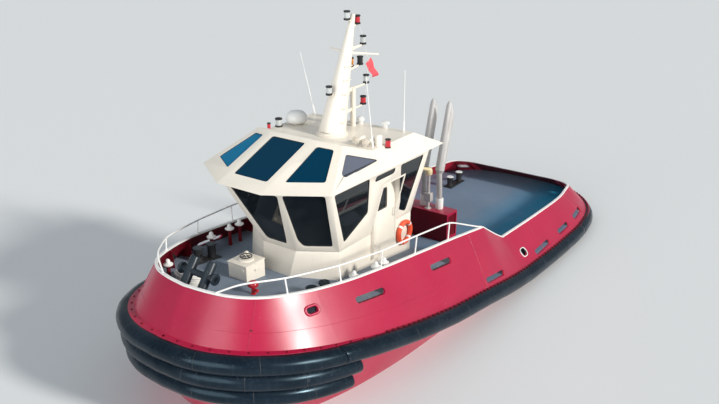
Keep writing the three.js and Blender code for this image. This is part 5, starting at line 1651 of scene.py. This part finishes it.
class TUG_OT_mast(PieceOperator, bpy.types.Operator):
    """Steps the raked mast with its yard, brackets and lanterns"""

    bl_idname = "tug.mast"
    bl_label = "Mast"

    def bracket(self, x, z, radius, gusset):
        """A plate from the mast out to a lantern's seat, hollowed along its lower edge."""
        tip, low_x = x + math.copysign(radius * 0.7, x - mast_x(z)), mast_x(z - gusset)
        root = Vector((low_x, 0, z - gusset - 0.024))
        corner = Vector((low_x, 0, z - 0.05)).lerp(root, 0.25)
        end = Vector((tip, 0, z - 0.028))
        edge = [root.lerp(corner, t).lerp(corner.lerp(end, t), t) for t in (0, 0.25, 0.5, 0.75, 1)]
        points = [Vector((tip, 0, z)), Vector((mast_x(z), 0, z)), *edge]
        return bevel(prism("bracket", points, (0, 1, 0), -0.016, 0.016), 0.004, 2, 40)

    def lantern(self, x, z, radius, height):
        """The lower plate, the upper plate and the body of one lantern."""
        waist, neck = radius * 0.86, radius * 0.80
        profiles = [
            ("lamp_base", [(0, -0.012), (radius, -0.012), (radius, 0.03), (waist, 0.04), (0, 0.04)]),
            ("lamp_cap", [(0, height - 0.045), (waist, height - 0.045), (radius, height - 0.032),
                          (radius, height - 0.008), (radius * 0.9, height), (0, height)]),
            ("lamp_body", [(0, 0.039), (neck, 0.039), (waist, height / 2), (neck, height - 0.044),
                           (0, height - 0.044)]),
        ]
        return [lathe(name, profile, (x, 0, z), steps=24) for name, profile in profiles]

    def flag(self):
        """A thin rippled cloth between its four corners."""
        top, foot, fly_foot, fly_top = [Vector(p) for p in FLAG]
        along, across = FLAG_STEPS
        verts = []
        for i in range(along + 1):
            t = i / along
            for k in range(across + 1):
                p = top.lerp(fly_top, t).lerp(foot.lerp(fly_foot, t), k / across)
                p.y += 0.05 * t * math.sin(9 * t + k / across)
                verts.append(p)
        width = across + 1
        faces = [(i * width + k, i * width + k + 1, (i + 1) * width + k + 1, (i + 1) * width + k)
                 for i in range(along) for k in range(across)]
        return outward(modify(mesh_piece("flag_cloth", verts, faces), "SOLIDIFY", thickness=FLAG_T))

    def spar(self):
        """The mast itself with its foot, post, yard and rungs."""
        foot = lathe("mast_foot", MAST_FOOT, (MAST_X0, 0, ROOF_SEAT), steps=64)
        pole = rod("mast_tube", (MAST_X0, 0, ROOF_Z), (MAST_X1, 0, MAST_TOP_Z), MAST_R0, MAST_R1, 64)
        outward(bisect(pole, (0, 0, ROOF_SEAT), (0, 0, 1), True))
        post = rod("mast_post", (POST_X, 0, ROOF_SEAT), (POST_X, 0, POST_TOP_Z), POST_R, sides=32)
        middle, end = YARD_X
        arms = [rod("yard_arm", (middle, 0, YARD_Z), (end, side * YARD_HALF, YARD_Z), 0.048, 0.022, 24, 0.006)
                for _, side in SIDES]
        rungs = []
        for z in RUNG_HEIGHTS:
            x, reach = mast_x(z), 0.09 + lerp(MAST_R0, MAST_R1, mast_share(z))
            path = [(x, reach - 0.1, z), (x, reach, z), (x + 0.16, reach, z), (x + 0.16, reach - 0.12, z)]
            rungs.append(pipe("rung", path, 0.009, bend=0.02))
        return [foot, pole, post, *arms, *rungs]

    def execute(self, context):
        pieces = self.spar()
        plates, bodies = [], {}
        for x, z, radius, height, gusset, material in LANTERNS:
            pieces.append(self.bracket(x, z, radius, gusset))
            lower, upper, body = self.lantern(x, z, radius, height)
            plates += [lower, upper]
            bodies.setdefault(material, []).append(body)
        assemble("mast_pole", pieces, "cream", "cream", stands_for=["mast"])
        assemble("lantern_plates", plates, "black", "black")
        for material, lamps in bodies.items():
            assemble(f"lantern_bodies_{material}", lamps, material, "glass")
        finish(pipe("flag_halyard", HALYARD, 0.006), "white", "white")
        finish(self.flag(), "flag_red", "red", angle=60)
        return {"FINISHED"}


# Roof gear

# Whip antennas. Columns: foot x, foot y, tip x, tip y, tip z.
WHIPS = [
    (2.01, -1.60, 2.01, -2.10, 7.37),
    (3.65, 1.58, 3.65, 1.36, 7.42),
    (2.01, 1.45, 2.01, 1.45, 7.30),
]
# Trumpet horns. Columns: x, y and radius of the mouth.
HORNS = [(3.76, 1.12, 0.11), (3.78, 1.43, 0.105)]
RADOME = [(0, 0), (0.12, 0), (0.12, 0.04), (0.25, 0.055), (0.285, 0.085), (0.30, 0.135), (0.30, 0.18),
          (0.288, 0.24), (0.25, 0.30), (0.19, 0.345), (0.11, 0.37), (0.04, 0.379), (0, 0.38)]
RADOME_PLACE, SIGNAL_PLACE = (3.1, -1.38, ROOF_SEAT), (3.6, -1.6, ROOF_SEAT)
# The signal lamp's radius and height, and the radius and heights of its plates
SIGNAL_R, SIGNAL_HEIGHT, SIGNAL_PLATE_R, SIGNAL_PLATES = 0.085, 0.24, 0.10, (0.0, 0.201)
# Foot of the port sidelight's seat, and how far above it the lamp starts
SIDELIGHT_FOOT, SIDELIGHT_RISE = (3.30, 1.80, 5.50), 0.07
# Round lamps with lenses. Columns: x, y, foot z, radius, height, material of the lens.
SIDELIGHTS = [
    (3.30, 1.80, SIDELIGHT_FOOT[2] + SIDELIGHT_RISE, 0.075, 0.235, "red"),
    (4.00, -1.60, ROOF_Z - 0.001, 0.05, 0.20, "red"),
]
# Turned fittings, white and cream. Columns: name, place, profile, sides.
ROOF_DOMES = [
    ("sat_dome", (2.05, 0.05, ROOF_SUNK),
     [(0, 0), (0.07, 0), (0.07, 0.09), (0.11, 0.11), (0.112, 0.15), (0.09, 0.19), (0.05, 0.215), (0, 0.22)],
     32),
    ("roof_vent", (2.0, 0.85, ROOF_SUNK),
     [(0, 0), (0.055, 0), (0.055, 0.12), (0.115, 0.13), (0.118, 0.165), (0.08, 0.19), (0, 0.2)], 32),
]
LAMP_FITTINGS = [
    ("lamp_housing", (3.45, 1.62, ROOF_Z - 0.001),
     [(0, 0), (0.09, 0), (0.09, 0.25), (0.075, 0.29), (0.03, 0.298), (0, 0.298)], 36),
    ("sidelight_seat", SIDELIGHT_FOOT, [(0, 0), (0.07, 0), (0.07, 0.068), (0, 0.069)], 32),
]


class TUG_OT_roof_gear(PieceOperator, bpy.types.Operator):
    """Sets the radar dome, signal lamps, horns, whips and small domes on the roof"""

    bl_idname = "tug.roof_gear"
    bl_label = "Roof gear"

    def whip(self, x, y, tip_x, tip_y, tip_z):
        """A whip antenna with its thicker foot."""
        foot, tip = Vector((x, y, ROOF_SUNK)), Vector((tip_x, tip_y, tip_z))
        joint = foot.lerp(tip, 0.3 / (tip_z - ROOF_Z))
        return [rod("whip_base", foot, joint, 0.026, 0.022, 20, 0.005),
                rod("whip", joint, tip, 0.012, 0.007, 12)]

    def horn(self, x, y, mouth):
        """A trumpet horn on its post."""
        z = ROOF_Z + 0.125
        bell = [(0.04, 0), (0.042, 0.03), (mouth * 0.6, 0.10), (mouth * 0.85, 0.165), (mouth, 0.2),
                (mouth - 0.012, 0.2), (mouth * 0.7, 0.14), (0, 0.05)]
        return [rod("horn_post", (x - 0.25, y, ROOF_SUNK), (x - 0.25, y, z), 0.028, sides=16),
                rod("horn_drum", (x - 0.35, y, z), (x - 0.18, y, z), 0.065, 0.055, 28, 0.01),
                lathe("horn_bell", bell, (x - 0.2, y, z), (1, 0, 0), 36)]

    def sidelight(self, x, y, foot, radius, height, lens):
        """Finishes a round lens and returns the black plates above and below it."""
        place, rim, waist = (x, y, foot), radius * 0.85, radius * 0.9
        profile = [(0, 0.03), (rim, 0.03), (waist, height / 2), (rim, height - 0.03), (0, height - 0.03)]
        finish(lathe("sidelight_lens", profile, place, steps=32), lens, "glass")
        return [lathe("plate", [(0, low), (radius, low), (radius, low + 0.028), (0, low + 0.03)], place,
                      steps=32) for low in (0, height - 0.031)]

    def signal_plate(self, low):
        """One of the plates round the signal lamp."""
        profile = [(0, low), (SIGNAL_PLATE_R, low), (SIGNAL_PLATE_R, low + 0.035),
                   (SIGNAL_PLATE_R - 0.01, low + 0.04), (0, low + 0.04)]
        return lathe("lamp_plate", profile, SIGNAL_PLACE, steps=40)

    def execute(self, context):
        finish(lathe("radome", RADOME, RADOME_PLACE, steps=56), "white", "white", stands_for=["radar_dome"],
               angle=60)
        tube = [(0, 0), (SIGNAL_R, 0), (SIGNAL_R, SIGNAL_HEIGHT), (0, SIGNAL_HEIGHT)]
        finish(lathe("signal_lamp_body", tube, SIGNAL_PLACE, steps=40), "lens_clear", "cream",
               stands_for=["signal_lamp"])
        plates = [self.signal_plate(low) for low in SIGNAL_PLATES]
        plates += [plate for row in SIDELIGHTS for plate in self.sidelight(*row)]
        assemble("roof_lamp_plates", plates, "black", "black")
        assemble("whip_antennas", [piece for row in WHIPS for piece in self.whip(*row)], "white", "white")
        domes, fittings = [[lathe(name, profile, place, steps=sides) for name, place, profile, sides in rows]
                           for rows in (ROOF_DOMES, LAMP_FITTINGS)]
        assemble("roof_domes", domes, "white", "white", angle=60)
        horns = [piece for row in HORNS for piece in self.horn(*row)]
        assemble("horn_trumpets", horns + fittings, "cream", "cream")
        return {"FINISHED"}


# Casing and exhausts

CASING_X, CASING_HALF, CASING_TOP = (-1.70, -2.35), 0.85, 1.80
EXHAUST_Y = 0.30
# An exhaust's centreline seen from the side, and three points of the plane that cuts its mouth
EXHAUST_FOOT, EXHAUST_BEND, EXHAUST_TIP = (-2.12, 1.801), (-2.02, 3.05), (-2.66, 5.36)
EXHAUST_MOUTH = [(-2.505, 0, 5.40), (-2.505, 0.1, 5.40), (-2.547, 0, 4.55)]
# Radius of the narrow pipe below, of the wide pipe above, and of its bore
PIPE_R, EXHAUST_R, BORE_R = 0.095, 0.15, 0.138
SLEEVE, SLEEVE_SHIFT = [(0, 0), (0.13, 0), (0.13, 0.345), (0.122, 0.36), (0.10, 0.362), (0, 0.362)], 0.012
# Sunk panel in each side of the casing: depth, distance from the ends, foot's height, distance from the top
PANEL_DEPTH, PANEL_BORDER, PANEL_FOOT, PANEL_DROP = 0.04, 0.07, 0.95, 0.09
# The monitor on its stand
MONITOR_X, MONITOR_HEAD_Z = -1.88, 3.0
MONITOR_STAND = [(0, 0), (0.11, 0), (0.11, 0.02), (0.05, 0.035), (0.05, 1.22), (0, 1.22)]
MONITOR_HEAD = [(0, 0), (0.11, 0), (0.125, 0.09), (0.11, 0.17), (0.06, 0.23), (0, 0.24)]


class TUG_OT_casing(PieceOperator, bpy.types.Operator):
    """Builds the engine casing, the exhausts and the monitor"""

    bl_idname = "tug.casing"
    bl_label = "Casing and exhausts"

    def casing(self):
        """The engine casing with a sunk panel in each side, and painted light on its top and port frame."""
        (x0, x1), half, top = CASING_X, CASING_HALF, CASING_TOP
        outline = [(x0, 0, afterdeck_z(x0)), (x0, 0, top), (x1, 0, top), (x1, 0, afterdeck_z(x1))]
        casing = prism("casing_plates", outline, (0, 1, 0), -half, half)
        panel = block("panel", (x1 + PANEL_BORDER, half - PANEL_DEPTH, PANEL_FOOT),
                      (x0 - PANEL_BORDER, half + 0.1, top - PANEL_DROP))
        bevel(cut(casing, *pair(panel)), 0.012, 3, 30)
        finish(casing, "maroon", "hull_red", stands_for=["engine_casing"])
        # Painted light and shade: crimson on the top and on the port side's frame, where the sun falls; the
        # other faces keep dark maroon as painted shade.
        repaint(casing, ["crimson"],
                lambda face: int(face.normal.z > 0.5 or face.normal.y > 0.5 and face.center.y > half - 0.01))

    def exhaust(self, name, side):
        """One exhaust: narrow pipe, collar and wide pipe with a slanted mouth."""
        y = side * EXHAUST_Y
        foot, bend, tip = [Vector((x, y, z)) for x, z in (EXHAUST_FOOT, EXHAUST_BEND, EXHAUST_TIP)]
        path = [foot, bend.lerp(foot, 0.08), bend, bend.lerp(tip, 0.04)]
        low = pipe("pipe_low", path, PIPE_R, bend=0.10, resolution=8)
        collar = rod("pipe_collar", bend, bend.lerp(tip, 0.045), 0.10, EXHAUST_R, 40)
        high = rod("pipe_high", bend.lerp(tip, 0.044), bend.lerp(tip, 1.08), EXHAUST_R, sides=48)
        cut(high, rod("pipe_bore", bend.lerp(tip, 0.45), bend.lerp(tip, 1.2), BORE_R, sides=48))
        outward(bisect(high, EXHAUST_MOUTH[0], facing_away(EXHAUST_MOUTH, bend)))
        assemble(f"exhaust_pipe_{name}", [low, collar, high], "stainless", "stainless",
                 stands_for=[f"exhaust_{name}"])
        sleeve = lathe(f"exhaust_sleeve_{name}", SLEEVE, foot + Vector((SLEEVE_SHIFT, 0, 0)), steps=40)
        finish(sleeve, "white", "stainless")

    def monitor(self):
        """The fire monitor on its stand."""
        stand = lathe("monitor_stand", MONITOR_STAND, (MONITOR_X, 0, CASING_TOP + 0.001), steps=28)
        valve = block("monitor_box", (-1.99, -0.13, 2.06), (-1.79, 0.13, 2.36), 0.02)
        head = lathe("monitor_head", MONITOR_HEAD, (MONITOR_X, 0, MONITOR_HEAD_Z), steps=32)
        barrel = rod("monitor_barrel", (MONITOR_X, 0, 3.16), (-1.42, 0, 3.33), 0.065, 0.05, 24, 0.008)
        assemble("monitor_stand_post", [stand, valve], "stainless", "cream", stands_for=["monitor"])
        assemble("monitor_gun", [head, barrel], "brass_cream", "cream")

    def execute(self, context):
        self.casing()
        for name, side in SIDES:
            self.exhaust(name, side)
        self.monitor()
        return {"FINISHED"}


# Deck gear

# Tow bitt: a leg's foot and top seen from the side, its distance off the centreline, and the crossbar
BITT_FOOT, BITT_TOP, BITT_Y, BITT_RADIUS = (8.98, 2.691), (8.116, 3.797), 0.28, 0.115
BITT_BAR, BITT_REACH = (8.325, 3.53), 0.56
# Bitts. Columns: name, x of the two posts, y, deck, node, material of the tops.
BITT_ROWS = [
    ("bitt_pair_bow_port", (6.60, 6.12), 1.90, foredeck_z, "bitts_bow_port", "slate"),
    ("bitt_pair_bow_starboard", (6.60, 6.12), -1.90, foredeck_z, "bitts_bow_starboard", "slate"),
    ("bitt_pair_aft", (-6.78, -7.50), -1.90, afterdeck_z, "bitts_aft", "white"),
]
# Height of the bitts, and how far their plate reaches from the posts' centres, along and across
BITT_HEIGHT, BITT_BASE = 0.44, (0.19, 0.17)
# Coiled line: centre, half lengths along and across the boat, radius of the cord, turns
COIL_PLACE, COIL_HALF, COIL_CORD, COIL_TURNS = (7.66, -1.08), (0.27, 0.50), 0.034, 12
# Points in a turn of the coiled line
COIL_STEPS = 16
# Locker: after and forward end, starboard and port side, top, thickness, height of the floor inside
LOCKER_X, LOCKER_Y, LOCKER_TOP, LOCKER_T, LOCKER_FLOOR = (6.08, 6.75), (-0.66, -0.04), 3.02, 0.03, 2.72
LID_LOW = LOCKER_TOP + 0.001
# The round hatch on the lid: its centre and the radius of its handwheel
HATCH_X, HATCH_Y, WHEEL_R = 6.42, -0.35, 0.15
HATCH_RIM = [(0, 0), (0.20, 0), (0.20, 0.03), (0.18, 0.045), (0.15, 0.05), (0, 0.05)]
HYDRANT_X, HYDRANT_Y = 7.15, 0.55
HYDRANT = [(0, 0), (0.07, 0), (0.07, 0.02), (0.045, 0.03), (0.045, 0.2), (0.13, 0.22), (0.135, 0.25),
           (0.11, 0.31), (0.06, 0.345), (0, 0.35)]
# Life ring: centre, radius of its middle line and of its section
LIFE_CENTRE, LIFE_R, LIFE_SECTION = Vector((2.0, WALL_Y + 0.068, 2.70)), 0.30, 0.066


class TUG_OT_deck_gear(PieceOperator, bpy.types.Operator):
    """Makes the tow bitt, the bitts, the locker, the hydrant and the life ring"""

    bl_idname = "tug.deck_gear"
    bl_label = "Deck gear"

    def tow_bitt(self):
        """Builds the tow bitt and returns the caps of its legs."""
        (foot_x, foot_z), (top_x, top_z), y, radius = BITT_FOOT, BITT_TOP, BITT_Y, BITT_RADIUS
        (bar_x, bar_z), reach = BITT_BAR, BITT_REACH
        legs = [rod("bitt_leg", (foot_x, side * y, foot_z), (top_x, side * y, top_z), radius, sides=40,
                    round_by=0.012) for _, side in SIDES]
        bar = rod("bitt_bar", (bar_x, -reach, bar_z), (bar_x, reach, bar_z), 0.08, sides=36, round_by=0.01)
        discs = [rod("bitt_disc", (bar_x, side * (reach - 0.05), bar_z), (bar_x, side * reach, bar_z), 0.14,
                     sides=40, round_by=0.008) for _, side in SIDES]
        post = gather("tow_post", [*legs, bar, *discs])
        outward(bisect(post, (0, 0, foredeck_z(0) + 0.001), (-FOREDECK_SLOPE, 0, 1), True))
        finish(post, "slate", "cream", stands_for=["tow_bitt"])
        return [rod("leg_cap", (top_x - 0.001, side * y, top_z + 0.001),
                    (top_x - 0.005, side * y, top_z + 0.006), radius - 0.014, sides=36) for _, side in SIDES]

    def bitts(self, xs, y, level):
        """A pair of bitts on a plate, and the posts' painted tops."""
        height, (long, wide) = BITT_HEIGHT, BITT_BASE
        x0, x1 = min(xs) - long, max(xs) + long
        outline = [(x0, y - wide, level(x0)), (x1, y - wide, level(x1)), (x1, y + wide, level(x1)),
                   (x0, y + wide, level(x0))]
        plate = prism("bitt_base", outline, (0, 0, 1), 0.001, 0.04)
        post = [(0, 0), (0.13, 0), (0.11, 0.05), (0.11, height - 0.10), (0.115, height - 0.07),
                (0.145, height - 0.055), (0.145, height - 0.03), (0, height - 0.03)]
        top = [(0, height - 0.031), (0.143, height - 0.031), (0.13, height - 0.015), (0, height - 0.012)]
        bodies = [bevel(plate, 0.01, 2, 60), *[lathe("bitt", post, (x, y, level(x)), steps=36) for x in xs]]
        horn_z, inboard = level(xs[0]) + height * 0.55, y - math.copysign(0.23, y)
        bodies.append(rod("bitt_horn", (xs[0], y, horn_z), (xs[0], inboard, horn_z), 0.032, 0.028, 16, 0.006))
        return bodies, [lathe("bitt_top", top, (x, y, level(x)), steps=36) for x in xs]

    def coil(self):
        """A mooring line laid down in a long flat coil behind the tow bitt."""
        (x0, y0), cord = COIL_PLACE, COIL_CORD
        points = []
        for i in range(COIL_TURNS * COIL_STEPS + 1):
            turn = i / COIL_STEPS
            angle, layer = math.tau * turn, int(turn) // 3
            spread = 1 - 0.17 * (turn % 3) - 0.05 * layer
            x = x0 + COIL_HALF[0] * spread * math.cos(angle) + 0.03 * math.sin(3.1 * turn)
            y = y0 + COIL_HALF[1] * spread * math.sin(angle) + 0.05 * math.sin(1.7 * turn)
            points.append(Vector((x, y, foredeck_z(x) + cord + 0.002 + layer * cord * 1.7)))
        finish(pipe("mooring_coil", points, cord, resolution=3), "rope", "white", angle=60)

    def locker(self):
        """The deck locker, open at the top."""
        (x0, x1), (y0, y1), t = LOCKER_X, LOCKER_Y, LOCKER_T
        outline = [(x0, y0, foredeck_z(x0)), (x1, y0, foredeck_z(x1)), (x1, y0, LOCKER_TOP),
                   (x0, y0, LOCKER_TOP)]
        chest = prism("locker_chest", outline, (0, 1, 0), 0, y1 - y0)
        cut(chest, block("locker_inside", (x0 + t, y0 + t, LOCKER_FLOOR), (x1 - t, y1 - t, 4)))
        bevel(chest, 0.012, 3, 40)
        clips = [block("clip", (x1 - 0.005, y, 2.88), (x1 + 0.02, y + 0.07, 2.94), 0.006)
                 for y in (-0.6, -0.2)]
        knob = rod("clip_knob", (HATCH_X, y1 - 0.002, 2.86), (HATCH_X, y1 + 0.035, 2.86), 0.05, 0.035, 20,
                   0.006)
        assemble("locker_box", [chest, *clips, knob], "cream", "cream", stands_for=["locker"])

    def hatch(self):
        """The locker's lid with its round hatch and handwheel."""
        (x0, x1), (y0, y1), low = LOCKER_X, LOCKER_Y, LID_LOW
        lid = block("lid_plate", (x0, y0 - 0.02, low), (x1 + 0.02, y1 + 0.02, low + 0.03), 0.008)
        rim = lathe("hatch_rim", HATCH_RIM, (HATCH_X, HATCH_Y, low + 0.02), steps=40)
        spindle = rod("hatch_spindle", (HATCH_X, HATCH_Y, low + 0.05), (HATCH_X, HATCH_Y, low + 0.13), 0.02,
                      sides=16)
        lug = block("lid_lug", (6.12, -0.62, low + 0.02), (6.20, -0.54, low + 0.09), 0.015)
        assemble("locker_hatch", [lid, rim, spindle, lug], "cream", "cream", "locker_lid", ["locker_lid"])
        centre = Vector((HATCH_X, HATCH_Y, low + 0.12))
        wheel = [ring("handwheel", centre, WHEEL_R, 0.012, section=10)]
        for i in range(3):
            angle = i * math.pi / 3 + 0.5
            reach = Vector((math.cos(angle), math.sin(angle), 0)) * WHEEL_R
            wheel.append(rod("spoke", centre - reach, centre + reach, 0.008, sides=10))
        assemble("hatch_handwheel", wheel, "black", "cream", "locker_lid")

    def hydrant(self):
        """The hydrant with its outlet."""
        x, y, z = HYDRANT_X, HYDRANT_Y, foredeck_z(HYDRANT_X)
        body = lathe("hydrant_body", HYDRANT, (x, y, z), steps=32)
        outlet = rod("hydrant_outlet", (x, y, z + 0.12), (x, y + 0.15, z + 0.12), 0.04, sides=20,
                     round_by=0.005)
        assemble("hydrant_valve", [body, outlet], "red", "red", stands_for=["hydrant"])

    def life_ring(self):
        """The life ring with its bands and hooks."""
        life = ring("life_ring_float", LIFE_CENTRE, LIFE_R, LIFE_SECTION, (0, 1, 0), 64, 20)
        finish(life, "orange", "orange", stands_for=["life_ring"], angle=60)
        bands = []
        for degrees in (45, 135, 225, 315):
            angle = math.radians(degrees)
            middle = LIFE_CENTRE + Vector((math.cos(angle), 0, math.sin(angle))) * LIFE_R
            half = Vector((-math.sin(angle), 0, math.cos(angle))) * 0.03
            bands.append(rod("band", middle - half, middle + half, LIFE_SECTION + 0.0015, sides=28))
        assemble("life_ring_bands", bands, "white", "orange", angle=60)
        hooks = [pipe("hook", [(x, WALL_Y - 0.01, 2.40), (x, WALL_Y + 0.15, 2.40), (x, WALL_Y + 0.15, 2.46)],
                      0.008, bend=0.03) for x in (LIFE_CENTRE.x - 0.1, LIFE_CENTRE.x + 0.1)]
        assemble("life_ring_hooks", hooks, "white", "cream")

    def execute(self, context):
        painted = {"slate": self.tow_bitt(), "white": []}
        for name, xs, y, level, node, paint in BITT_ROWS:
            bodies, tops = self.bitts(xs, y, level)
            assemble(name, bodies, "black", "cream", stands_for=[node])
            painted[paint] += tops
        for paint, tops in painted.items():
            assemble(f"bitt_tops_{paint}", tops, paint, "cream")
        self.coil()
        self.locker()
        self.hatch()
        self.hydrant()
        self.life_ring()
        return {"FINISHED"}


# Thrusters: profiles of (radius, distance along the propeller's shaft)

POD = [(0, -0.56), (0.09, -0.56), (0.15, -0.5), (0.19, -0.4), (0.20, -0.25), (0.20, 0.12), (0.185, 0.22),
       (0.15, 0.3), (0.09, 0.365), (0.04, 0.39), (0, 0.4)]
NOZZLE = [(0.72, -0.82), (0.76, -0.82), (0.80, -0.81), (0.82, -0.78), (0.86, -0.55), (0.89, -0.40),
          (0.898, -0.35), (0.895, -0.30), (0.88, -0.27), (0.855, -0.255), (0.82, -0.255), (0.78, -0.27),
          (0.74, -0.32), (0.722, -0.40), (0.72, -0.50), (0.72, -0.82)]
# The nozzle's struts: distance behind the stem, reach, directions
STRUT_SHIFT, STRUT_REACH, STRUT_DEGREES = -0.33, 0.79, (90, 210, 330)
HUB = [(0, -0.76), (0.06, -0.745), (0.1, -0.72), (0.125, -0.68), (0.14, -0.5615), (0, -0.5615)]
BLADE = [(-0.07, 0.06), (0.07, 0.06), (0.17, 0.28), (0.21, 0.42), (0.20, 0.56), (0.13, 0.66), (0.0, 0.69),
         (-0.13, 0.66), (-0.20, 0.56), (-0.21, 0.42), (-0.17, 0.28)]
BLADES, BLADE_SHIFT, BLADE_TURN, BLADE_HALF = 4, -0.64, 0.6, 0.011


class TUG_OT_propulsion(PieceOperator, bpy.types.Operator):
    """Hangs the two thrusters with their nozzles and propellers"""

    bl_idname = "tug.propulsion"
    bl_label = "Thrusters"

    def thruster(self, name, x, y, z):
        """Stem, pod and nozzle of one thruster."""
        stem = rod("stem", (x, y, HEADBOX_BOTTOM - 0.02), (x, y, z), 0.23, 0.19, 40)
        crown = rod("crown", (x, y, HEADBOX_BOTTOM - 0.08), (x, y, HEADBOX_BOTTOM - 0.001), 0.30, 0.42, 48,
                    0.01)
        pod = lathe("pod", POD, (x, y, z), (1, 0, 0), 48)
        nozzle = lathe("nozzle", NOZZLE, (x, y, z), (1, 0, 0), 72)
        root = Vector((x + STRUT_SHIFT, y, z))
        struts = []
        for angle in map(math.radians, STRUT_DEGREES):
            reach = Vector((0, math.cos(angle), -math.sin(angle))) * STRUT_REACH
            struts.append(rod("strut", root, root + reach, 0.045, sides=20))
        assemble(f"thruster_unit_{name}", [stem, crown, pod, nozzle, *struts], "slate", "black",
                 f"thruster_{name}", [f"thruster_{name}"])

    def propeller(self, name, side, x, y, z):
        """A propeller whose blades are turned the other way to starboard."""
        pieces = [lathe("hub", HUB, (x, y, z), (1, 0, 0), 36)]
        place = Vector((x + BLADE_SHIFT, y, z))
        for i in range(BLADES):
            spin = Matrix.Rotation(math.tau * i / BLADES, 3, "X") @ Matrix.Rotation(side * BLADE_TURN, 3, "Z")
            outline = [spin @ Vector((0, a, b)) + place for a, b in BLADE]
            blade = prism("blade", outline, spin @ Vector((1, 0, 0)), -BLADE_HALF, BLADE_HALF)
            pieces.append(bevel(blade, 0.006, 2, 50))
        assemble(f"propeller_wheel_{name}", pieces, "bronze", "bronze", f"propeller_{name}",
                 [f"propeller_{name}"])

    def execute(self, context):
        for name, side in SIDES:
            place = (THRUSTER_X, side * THRUSTER_Y, NOZZLE_Z)
            self.thruster(name, *place)
            self.propeller(name, side, *place)
        return {"FINISHED"}


# Stage

FLOOR_SIZE = 400
# Sunlight: direction, colour and spread in degrees; the soft light from ahead: direction and spread
SUN_TOWARDS, SUN_COLOUR, SUN_SPREAD = (0.11, -0.90, -0.43), (1.0, 0.96, 0.90), 8
FRONT_TOWARDS, FRONT_SPREAD = (-0.93, -0.12, -0.24), 50
# The camera that was fitted to the photograph: focal length, sensor, and turn in degrees
LENS, SENSOR, CAMERA_TURN = 39.55, 36, (68.52, 0, 125.69)


class TUG_OT_stage(PieceOperator, bpy.types.Operator):
    """Lays the pale floor at the waterline and sets the lights and the camera"""

    bl_idname = "tug.stage"
    bl_label = "Stage"

    def light(self, place, energy, spread, towards):
        """A sun lamp; spread is its angle in degrees."""
        bpy.ops.object.light_add(type="SUN", location=place)
        light = bpy.context.active_object
        light.data.energy = energy
        light.data.angle = math.radians(spread)
        light.rotation_mode = "QUATERNION"
        light.rotation_quaternion = Vector(towards).to_track_quat("-Z", "Y")
        return light

    def execute(self, context):
        stage, scene = context.scene.tug_stage, context.scene
        deselect()
        bpy.ops.mesh.primitive_plane_add(size=FLOOR_SIZE, location=(0, 0, 0))
        floor = bpy.context.active_object
        floor.name = "floor"
        material, _, _ = new_material("pale_floor", Base_Color=(0.74, 0.76, 0.77, 1), Roughness=0.8)
        floor.data.materials.append(material)
        scene.world = bpy.data.worlds.new("sky")
        scene.world.use_nodes = True
        background = scene.world.node_tree.nodes["Background"]
        background.inputs["Color"].default_value = (0.80, 0.88, 0.95, 1)
        background.inputs["Strength"].default_value = stage.fill
        sun = self.light((0, 20, 30), stage.sun, SUN_SPREAD, SUN_TOWARDS)
        sun.data.color = SUN_COLOUR
        front = self.light((30, -5, 20), stage.front, FRONT_SPREAD, FRONT_TOWARDS)
        front.name = "front_light"
        data = bpy.data.cameras.new("photo_view")
        data.sensor_width, data.lens = SENSOR, LENS
        camera = bpy.data.objects.new("photo_view", data)
        scene.collection.objects.link(camera)
        camera.location = stage.camera_place
        camera.rotation_euler = [math.radians(degrees) for degrees in CAMERA_TURN]
        scene.camera = camera
        scene.view_settings.view_transform = "Standard"
        return {"FINISHED"}


PIECES = [TUG_OT_materials, TUG_OT_hull, TUG_OT_bulwark, TUG_OT_cap_rail, TUG_OT_fenders, TUG_OT_decks,
          TUG_OT_handrails, TUG_OT_wheelhouse, TUG_OT_glazing, TUG_OT_doors, TUG_OT_cabin, TUG_OT_mast,
          TUG_OT_roof_gear, TUG_OT_casing, TUG_OT_deck_gear, TUG_OT_propulsion, TUG_OT_stage]


class TUG_PT_panel(bpy.types.Panel):
    """Lists the tugboat's pieces"""

    bl_label = "Tugboat"
    bl_idname = "TUG_PT_panel"
    bl_space_type = "VIEW_3D"
    bl_region_type = "UI"
    bl_category = "Tugboat"

    def draw(self, context):
        for piece in PIECES:
            self.layout.operator(piece.bl_idname)


CLASSES = [TugHullSettings, TugHouseSettings, TugStageSettings, *PIECES, TUG_PT_panel]


def register():
    for cls in CLASSES:
        bpy.utils.register_class(cls)
    bpy.types.Scene.tug_hull = bpy.props.PointerProperty(type=TugHullSettings)
    bpy.types.Scene.tug_house = bpy.props.PointerProperty(type=TugHouseSettings)
    bpy.types.Scene.tug_stage = bpy.props.PointerProperty(type=TugStageSettings)


def unregister():
    del bpy.types.Scene.tug_hull
    del bpy.types.Scene.tug_house
    del bpy.types.Scene.tug_stage
    for cls in reversed(CLASSES):
        bpy.utils.unregister_class(cls)


def main():
    register()
    for piece in PIECES:
        group, action = piece.bl_idname.split(".")
        getattr(getattr(bpy.ops, group), action)()


if __name__ == "__main__":
    main()
